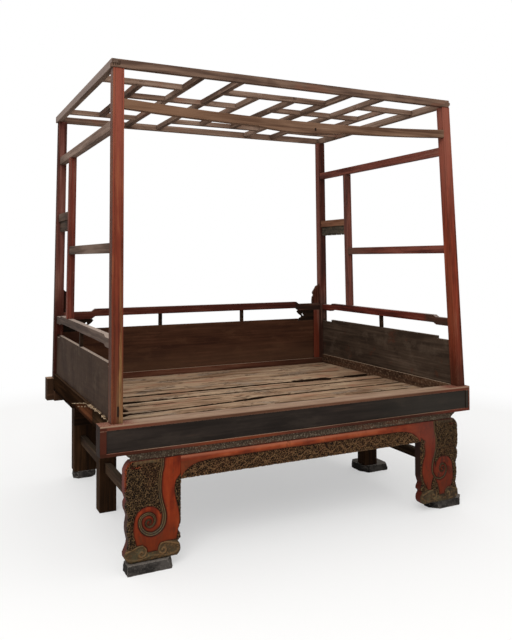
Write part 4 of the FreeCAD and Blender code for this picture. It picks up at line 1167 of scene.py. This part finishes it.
def left_sill_finish():
    """Dark brown old timber with pale fresh wood where it has splintered, painted shade along its lower edge and in
    corners.
    """
    p = Paint("left_sill", specular=0.0)
    behind, _, split, pale = p.zones()
    streak = p.noise((60, 2.6, 60), 5, 0.6)
    broad = p.noise((7, 2, 7), 3)
    fibre = p.noise((300, 14, 300), 3)
    tone = p.plus(p.times(streak, 0.5), p.times(broad, 0.5))
    colour = p.two_tone(tone, 0.4, 0.62, (30, 19, 12), (50, 33, 21))
    inside = p.two_tone(tone, 0.4, 0.6, (40, 28, 19), (78, 56, 39))
    inside = p.blend(behind, inside, p.two_tone(tone, 0.4, 0.6, (66, 37, 24), (104, 64, 42)))
    colour = p.blend(split, colour, inside)
    # the lowest part of the face painted near-black as painted shade
    colour = p.coats(colour, (0.7, (18, 12, 9), (p.z, 0.582, 0.570)))
    fresh = p.two_tone(fibre, 0.4, 0.62, (124, 100, 76), (196, 172, 144))
    colour = p.blend(p.window(pale, 0.35, 0.75), colour, fresh)
    colour = p.coats(
        colour,
        (0.4, (92, 72, 56), (p.facing_z, 0.6, 0.9), (p.x, -0.94, -0.96)),
        # painted shade in corners
        (0.7, (16, 11, 8), p.corner_shade(0.02)),
    )
    return p.finish(colour, p.plus(0.65, p.times(streak, 0.2)), p.plus(streak, fibre), bump=0.6)


# Small plain timbers: their lowest and highest corners, in metres, with finish and slot
PLAIN = {
    "rear_right_post_foot": ((0.904, 0.674, 0.637), (0.966, 0.6838, 0.990), "post_rr", "post_lacquer"),
    "roof_corner_tenon": ((0.9795, -0.658, 2.240), (0.992, -0.645, 2.256), "canopy_x", "canopy_wood"),
}


def make_block(name, low, high, material, slot):
    corners = [(x, y, z) for x in (low[0], high[0]) for y in (low[1], high[1]) for z in (low[2], high[2])]
    faces = [(0, 1, 3, 2), (4, 6, 7, 5), (0, 4, 5, 1), (2, 3, 7, 6), (0, 2, 6, 4), (1, 5, 7, 3)]
    made = make_piece(name, np.array(corners), faces, sharp=30.0)
    soft = made.modifiers.new("soft_edges", "BEVEL")
    soft.width = EDGE_WIDTH
    soft.segments = 2
    settle(made, material, slot)


# The bars of the roof: their middle height, how much deeper they are than the solids, how far apart they are cut and
# how far they waver
ROOF_BARS = {
    "roof_outer_row_bars": "canopy_x", "roof_centre_row_bars": "canopy_x", "roof_middle_row_bars": "canopy_x",
    "roof_long_bars": "canopy_y", "roof_short_bars": "canopy_y",
}
BAR_MIDDLE = 2.250
BAR_DEEPER = 26.0 / 14.0
BAR_CUT = 0.045
BAR_WAVER = 0.0007


def make_roof_bars(made):
    """The roof's bars, deeper than the solids as the real ones are, and slightly uneven."""
    for name, finish_name in ROOF_BARS.items():
        work = bmesh.new()
        work.from_mesh(nodes[name].data)
        work.transform(nodes[name].matrix_world)
        bmesh.ops.remove_doubles(work, verts=work.verts, dist=0.00002)
        for way, low, high in ((X, -0.93, 0.95), (Y, -0.63, 0.68)):
            for at in np.arange(low, high, BAR_CUT):
                everything = work.verts[:] + work.edges[:] + work.faces[:]
                bmesh.ops.bisect_plane(work, geom=everything, dist=0.0004, plane_co=way * at, plane_no=way)
        at = np.array([tuple(v.co) for v in work.verts])
        u, v = at[:, 0] / MM, at[:, 1] / MM
        in_z, in_x, in_y = [ripple(u, v, size, seed) for size, seed in ((260.0, 171), (300.0, 173), (300.0, 175))]
        at[:, 2] = BAR_MIDDLE + (at[:, 2] - BAR_MIDDLE) * BAR_DEEPER
        for vertex, place in zip(work.verts, at + BAR_WAVER * np.stack((in_x, in_y, in_z), axis=-1)):
            vertex.co = place
        mesh = bpy.data.meshes.new("worn_" + name)
        work.to_mesh(mesh)
        work.free()
        bars = bpy.data.objects.new("worn_" + name, mesh)
        bpy.context.scene.collection.objects.link(bars)
        soften(bars)
        settle(bars, made[finish_name], "canopy_wood", name)


# The deck, in metres: the line of each joint between planks, and how wide it gapes
DECK_TOP = 0.603
DECK_THICK = 0.025
DECK_LEFT = -0.934
DECK_RIGHT = 0.970
DECK_FRONT = -0.6713
DECK_BACK = 0.6713
JOINTS = [
    [(-0.95, -0.4475), (0.0, -0.4455), (0.97, -0.4430)],
    [(-0.95, -0.3300), (-0.52, -0.3035), (-0.18, -0.2725), (0.02, -0.2400), (0.32, -0.2345), (0.97, -0.2225)],
    [(-0.95, -0.0610), (-0.6, -0.0590), (0.4, -0.0560), (0.97, -0.0540)],
    [(-0.95, 0.0840), (-0.3, 0.0830), (0.4, 0.0850), (0.97, 0.0880)],
]
GAPES = [
    [(-0.95, 0.010), (-0.7, 0.008), (-0.6, 0.003), (-0.45, 0.009), (-0.1, 0.007), (0.1, 0.008), (0.2, 0.003),
     (0.97, 0.004)],
    [(-0.95, 0.060), (-0.83, 0.055), (-0.79, 0.014), (-0.5, 0.013), (-0.2, 0.018), (-0.12, 0.034),
     (-0.02, 0.034), (0.04, 0.018), (0.3, 0.014), (0.5, 0.009), (0.97, 0.007)],
    [(-0.95, 0.060), (-0.78, 0.056), (-0.70, 0.040), (-0.60, 0.020), (-0.3, 0.014), (0.0, 0.008), (0.97, 0.008)],
    [(-0.95, 0.018), (-0.7, 0.020), (-0.25, 0.018), (-0.12, 0.028), (0.02, 0.028), (0.08, 0.018), (0.36, 0.022),
     (0.41, 0.058), (0.64, 0.062), (0.66, 0.020), (0.77, 0.018), (0.79, 0.060), (0.97, 0.056)],
]
# Cracks: where each starts and ends along the bed, where it lies across, and its seed
CRACKS = [
    (-0.78, -0.06, -0.160, 1), (-0.63, -0.27, 0.184, 2), (-0.40, 0.12, 0.457, 3), (-0.56, 0.40, -0.417, 4),
    (0.30, 0.90, 0.300, 5), (-0.90, -0.66, -0.424, 6), (0.42, 0.93, -0.392, 7),
]
PLANK_STEPS = 480
PLANK_CELL = 0.0035
# A bit broken out of the deck: its middle and half sizes
NOTCH_X, NOTCH_Y, NOTCH_WIDE, NOTCH_LONG = -0.795, -0.195, 0.020, 0.075
# Knots: place and radius
KNOTS = [(-0.022, 0.4365, 0.014), (-0.36, 0.455, 0.009), (-0.29, 0.459, 0.008), (0.42, -0.36, 0.010)]


def plank_front(low_line, high_line, seed):
    """The worn top of a plank, cupped, uneven and cracked."""

    def front(u, v):
        x, y = v * MM, u * MM
        low = follow(x, low_line)
        high = follow(x, high_line)
        middle, half = (low + high) / 2, (high - low) / 2
        depth = 1.2 * ((y - middle) / half) ** 2 + 0.5 * ripple(u, v, 300.0, seed) + 0.6
        to_edge = np.minimum(y - low, high - y) / MM
        depth = depth + 3.0 * rounded(to_edge / 3.5)
        chip = ease(ripple(u * 0.0, v, 70.0, seed + 5), 0.55, 1.1)
        depth = depth + 4.0 * chip * (1.0 - unit(to_edge / 12.0)) ** 2
        to_back = (high - y) / MM
        depth = depth + 3.5 * (1.0 - unit(to_back / 30.0)) ** 2
        # dark marks the plank's edges, cracks and the notch's rim: dirt there and painted shade
        dark = bell(to_edge, 3.5)
        for start, end, at, crack_seed in CRACKS:
            line = at + 0.0030 * ripple(v, v * 0.0, 210.0, crack_seed + 60)
            there = ease(x, start, start + 0.05) * (1.0 - ease(x, end - 0.05, end))
            broken = there * ease(ripple(v, v * 0.0, 190.0, crack_seed + 70), -1.3, -0.1)
            depth = depth + 7.0 * bell(y - line, 0.0060) * broken
            depth = depth + 1.6 * ease(line - y, 0.0, 0.001) * ease(y - line, -0.03, 0.0) * broken
            dark = np.maximum(dark, bell(y - line, 0.0100) * broken)
        in_x = np.abs(x - NOTCH_X + 0.008 * ripple(u, u * 0.0, 60.0, 3)) / NOTCH_WIDE
        hole = np.maximum(in_x, np.abs(y - NOTCH_Y) / NOTCH_LONG)
        missing = ease(1.0 - hole, 0.0, 0.12)
        depth = depth + 18.0 * missing
        dark = np.maximum(dark, ease(1.12 - hole, 0.0, 0.1))
        return np.clip(depth, 0.0, 20.0), zones(0.0, 0.0, 0.0, 1.0 - dark)

    return front


def make_planks(material):
    rows = np.linspace(DECK_LEFT, DECK_RIGHT, PLANK_STEPS) / MM
    lines = []
    x = rows * MM
    for number, (joint, gape) in enumerate(zip(JOINTS, GAPES)):
        middle = follow(x, joint) + 0.0012 * ripple(rows, rows * 0.0, 260.0, 80 + number)
        half = follow(x, gape) / 2
        half = half * np.clip(1.0 + 0.30 * ripple(rows, rows * 0.0, 170.0, 90 + number), 0.5, 1.4)
        half = half + np.minimum(0.0012, half * 0.25) * ripple(rows, rows * 0.0, 34.0, 95 + number)
        lines.append((middle - half, middle + half))
    lows = [np.full(len(rows), DECK_FRONT)] + [high for _, high in lines]
    highs = [low for low, _ in lines] + [np.full(len(rows), DECK_BACK)]
    for number, (low, high) in enumerate(zip(lows, highs)):
        worked = plank_front(list(zip(x, low)), list(zip(x, high)), 100 + number * 10)
        columns = max(30, int((high - low).mean() / PLANK_CELL))
        slab(
            "worn_plank_%d" % (number + 1), "deck_plank_%d" % (number + 1), "deck_wood", material, rows, low / MM,
            high / MM, columns, (0.0, 0.0, DECK_TOP), (Y, X, -Z), worked, DECK_THICK / MM, sides=2,
        )


def deck_finish():
    """Pale worn deal: grain along the bed, grey and pink patches, knots, and dirt and painted shade along the joints.
    """
    p = Paint("deck_wood", specular=0.04)
    *_, high = p.zones()
    flank = p.add("Attribute", attribute_name="flank").outputs["Fac"]
    broad = p.noise((1.6, 5, 5), 3)
    streak = p.noise((2, 26, 26), 6, 0.7)
    winding = p.noise((1.3, 9, 9), 3, 0.5)
    short = p.noise((3.6, 15, 15), 4, 0.6)
    fibre = p.noise((12, 420, 200), 3, 0.6)
    patch = p.noise((4, 8, 8), 4, 0.6)
    speck = p.noise((90, 120, 120), 4, 0.7)
    tone = p.plus(p.times(broad, 0.4), p.times(streak, 0.6))
    colour = p.two_tone(tone, 0.40, 0.51, (118, 90, 68), (158, 130, 104))
    line = p.mask(p.vein(winding, 0.014, 0.005), (broad, 0.42, 0.52))
    dash = p.mask(p.vein(short, 0.020, 0.008), (patch, 0.46, 0.56))
    colour = p.coats(
        colour,
        (1.0, (180, 154, 126), (tone, 0.50, 0.60)),
        (0.55, (136, 124, 110), (patch, 0.54, 0.66)),
        (0.55, (152, 106, 82), (patch, 0.45, 0.34)),
        (0.35, (96, 72, 54), (fibre, 0.5, 0.72)),
        (0.5, (84, 62, 46), (speck, 0.60, 0.74)),
        (0.8, (70, 48, 34), p.most(line, dash)),
    )
    for x, y, size in KNOTS:
        far = p.distance(p.times(p.less(p.x, x), 0.7), p.less(p.y, y))
        colour = p.coats(colour, (0.85, (48, 31, 21), (far, size, size * 0.4)))
    # the planks' sides painted near-black as painted shade in the gaps, their top edges darker with dirt and painted
    # shade, and painted shade in occluded places
    edges = p.less(1.0, high)
    colour = p.coats(
        colour,
        (0.7, (44, 29, 19), p.corner_shade(0.05)),
        (1.0, (34, 22, 14), p.most(p.window(edges, 0.25, 0.9), flank)),
    )
    roughness = p.plus(0.66, p.times(p.plus(streak, speck), 0.16))
    height = p.plus(p.times(fibre, 0.6), p.plus(p.times(streak, 0.8), p.times(speck, 0.3)))
    return p.finish(colour, roughness, height, bump=0.5)


# The rough blocks under the legs: their height, and the sides of each in x and y, in metres
BLOCK_HIGH = 0.045
BLOCKS = [
    (-0.9120, -0.6980, -0.7325, -0.6275), (0.8050, 1.0190, -0.7035, -0.5985), (-0.8565, -0.7165, 0.6615, 0.7435),
    (0.8085, 0.9485, 0.6615, 0.7435), (0.8355, 1.0155, -0.0355, 0.1345),
]
BLOCK_CELL = 0.004
BLOCK_SPLITS = 13


def box_skin(cells):
    """The grid points on the skin of a box of so many cells each way, and the faces between them."""
    seen, faces = {}, []
    for axis in range(3):
        a, b = [n for n in range(3) if n != axis]
        for end, i, j in np.ndindex(2, cells[a], cells[b]):
            corners = np.zeros((4, 3), int)
            corners[:, axis] = end * cells[axis]
            corners[:, a] = i + np.array((0, 1, 1, 0))
            corners[:, b] = j + np.array((0, 0, 1, 1))
            faces.append([seen.setdefault(tuple(corner), len(seen)) for corner in corners.tolist()])
    return np.array(list(seen)), faces


def make_blocks(material):
    """Broken blocks: boxes whose corners and edges are split off along rough planes."""
    points, faces = [], []
    draw = np.random.default_rng(7)
    for left, right, front, back in BLOCKS:
        low, high = np.array((left, front, 0.0)), np.array((right, back, BLOCK_HIGH))
        size = high - low
        cells = np.maximum(2, np.ceil(size / BLOCK_CELL).astype(int))
        grid, quads = box_skin(cells)
        at = low + size * grid / cells
        centre = (low + high) / 2
        for _ in range(BLOCK_SPLITS):
            way = draw.choice((-1.0, 1.0), 3) * np.array((1.0, 1.0, draw.uniform(0.1, 0.9)))
            way = way * draw.uniform(0.35, 1.0, 3)
            way = way / np.linalg.norm(way)
            reach = (np.abs(way) * size / 2).sum() * draw.uniform(0.74, 0.93)
            over = (at - centre) @ way - reach
            rough = 0.0018 * ripple(at[:, 0] + at[:, 2], at[:, 1] - at[:, 2], 0.022, int(draw.integers(1000)))
            at = at - np.outer(np.clip(over + rough * (over > 0), 0.0, None), way)
        worn = 0.0010 * (1.0 + ripple(at[:, 0] + at[:, 2], at[:, 1] + at[:, 2] * 0.5, 0.03, 11))
        inward = (centre - at) / size
        strong = np.abs(inward).argmax(axis=1)
        at[np.arange(len(at)), strong] += np.sign(inward[np.arange(len(at)), strong]) * worn
        at = np.clip(at, low, high)
        start = sum(len(part) for part in points)
        points.append(at)
        faces.extend([[start + n for n in quad] for quad in quads])
    made = make_piece("broken_blocks", np.vstack(points), faces, sharp=28.0)
    settle(made, material, "block_wood", "foot_blocks")


def block_finish():
    """Dark grey blocks with pale broken edges, their faces to the left painted darker as painted shade."""
    p = Paint("block_wood", specular=0.06)
    broad = p.noise((14, 14, 20))
    speck = p.noise(140, 5, 0.7)
    colour = p.two_tone(broad, 0.38, 0.62, (42, 39, 37), (78, 73, 69))
    colour = p.coats(
        colour,
        (0.5, (112, 106, 100), (speck, 0.5, 0.7)),
        (0.6, (122, 114, 106), (p.facing_z, 0.5, 0.9)),
        (0.8, (160, 152, 144), p.edge(0.005), (speck, 0.38, 0.55)),
        # the faces to the left painted near-black as painted shade
        (0.75, (22, 20, 19), (p.facing_x, -0.4, -0.8)),
    )
    return p.finish(colour, p.plus(0.7, p.times(speck, 0.25)), p.plus(speck, broad), bump=0.7, deep=0.002)


FLOOR_HALF = 30.0
SQUARE = ((-1, -1), (1, -1), (1, 1), (-1, 1))
FLOOR_WHITE = ink(244, 243, 241)
FLOOR_PLAIN = ink(192, 190, 187)
FLOOR_LIFT = 0.45
FADE_START = 2.2
FADE_END = 4.0


def make_stage():
    """A plain pale floor that keeps the bed's shadow, and fades to the white background."""
    mesh = bpy.data.meshes.new("floor")
    mesh.from_pydata([(x * FLOOR_HALF, y * FLOOR_HALF, 0.0) for x, y in SQUARE], [], [(0, 1, 2, 3)])
    floor = bpy.data.objects.new("floor", mesh)
    bpy.context.scene.collection.objects.link(floor)
    p = Paint("floor", specular=0.1)
    p.shader.inputs["Roughness"].default_value = 0.9
    shown = p.looked_at()
    glow = p.add("Emission", {"Color": (1.0, 1.0, 1.0, 1.0), "Strength": 1.0}).outputs[0]
    share = p.times(p.most(p.window(p.distance(p.x, p.y), FADE_START, FADE_END), FLOOR_LIFT), shown)
    p.tree.links.new(p.blend(shown, FLOOR_PLAIN, FLOOR_WHITE), p.shader.inputs["Base Color"])
    mixed = p.add("MixShader", {0: share, 1: p.shader.outputs[0], 2: glow}).outputs[0]
    p.tree.links.new(mixed, p.tree.nodes["Material Output"].inputs["Surface"])
    mesh.materials.append(p.material)


WORLD_LOW = 0.55
WORLD_HIGH = 1.03
KEY_POWER = 230.0
KEY_SIZE = 3.5
KEY_PLACE = Vector((-3.2, -4.8, 5.2))
KEY_AIM = Vector((0.0, 0.0, 0.9))


def make_light():
    """A white surround, darker from below, and one large lamp from the front left."""
    world = bpy.data.worlds.new("studio")
    bpy.context.scene.world = world
    world.use_nodes = True
    sky = Nodes(world.node_tree)
    up = sky.add("SeparateXYZ", {0: sky.add("TexCoord").outputs["Generated"]}).outputs["Z"]
    level = sky.add("MapRange", {"Value": up, "To Min": WORLD_LOW, "To Max": WORLD_HIGH}).outputs[0]
    level = sky.add("Mix", {"Factor": sky.looked_at(), "A": level, "B": 1.0}).outputs[0]
    background = sky.tree.nodes["Background"]
    background.inputs["Color"].default_value = (1.0, 1.0, 1.0, 1.0)
    sky.tree.links.new(level, background.inputs["Strength"])
    lamp = bpy.data.lights.new("key", "AREA")
    lamp.energy = KEY_POWER
    lamp.size = KEY_SIZE
    key = bpy.data.objects.new("key", lamp)
    key.location = KEY_PLACE
    key.rotation_euler = (KEY_AIM - KEY_PLACE).to_track_quat("-Z", "Y").to_euler()
    bpy.context.scene.collection.objects.link(key)
    bpy.context.scene.view_settings.view_transform = "Standard"


make_camera()
make_stage()
make_light()
timbers = make_timbers()
carved = carved_finish("carved_lacquer", (55.0, 55.0, 5.0), (94, 29, 13), (126, 45, 18), (150, 65, 33),
                       (25, 18, 12), (80, 60, 40))
left_worked = leg_front(21, LEG_LINE, LEG_LINE_WIDTH, LEG_RED, None, 0.5)
right_worked = leg_front(51, RIGHT_LINE, RIGHT_LINE_WIDTH, RIGHT_RED, RIGHT_WEDGE, 0.0)
make_leg("left_leg_carving", "left_carved_leg", LEFT_LEG_OUTSIDE, 1.0, left_worked, carved)
make_leg("right_leg_carving", "right_carved_leg", RIGHT_LEG_OUTSIDE, -1.0, right_worked, carved)
make_apron(carved_finish("apron_lacquer", (7.0, 60.0, 60.0), (102, 38, 20), (136, 57, 29), (162, 81, 47),
                         (36, 24, 15), (98, 70, 46), rolled_light_and_shade=0.75))
make_waist(waist_finish())
make_planks(deck_finish())
make_left_sill(left_sill_finish())
make_blocks(block_finish())
make_roof_bars(timbers)
for plain, (low, high, finish_name, slot) in PLAIN.items():
    make_block(plain, low, high, timbers[finish_name], slot)
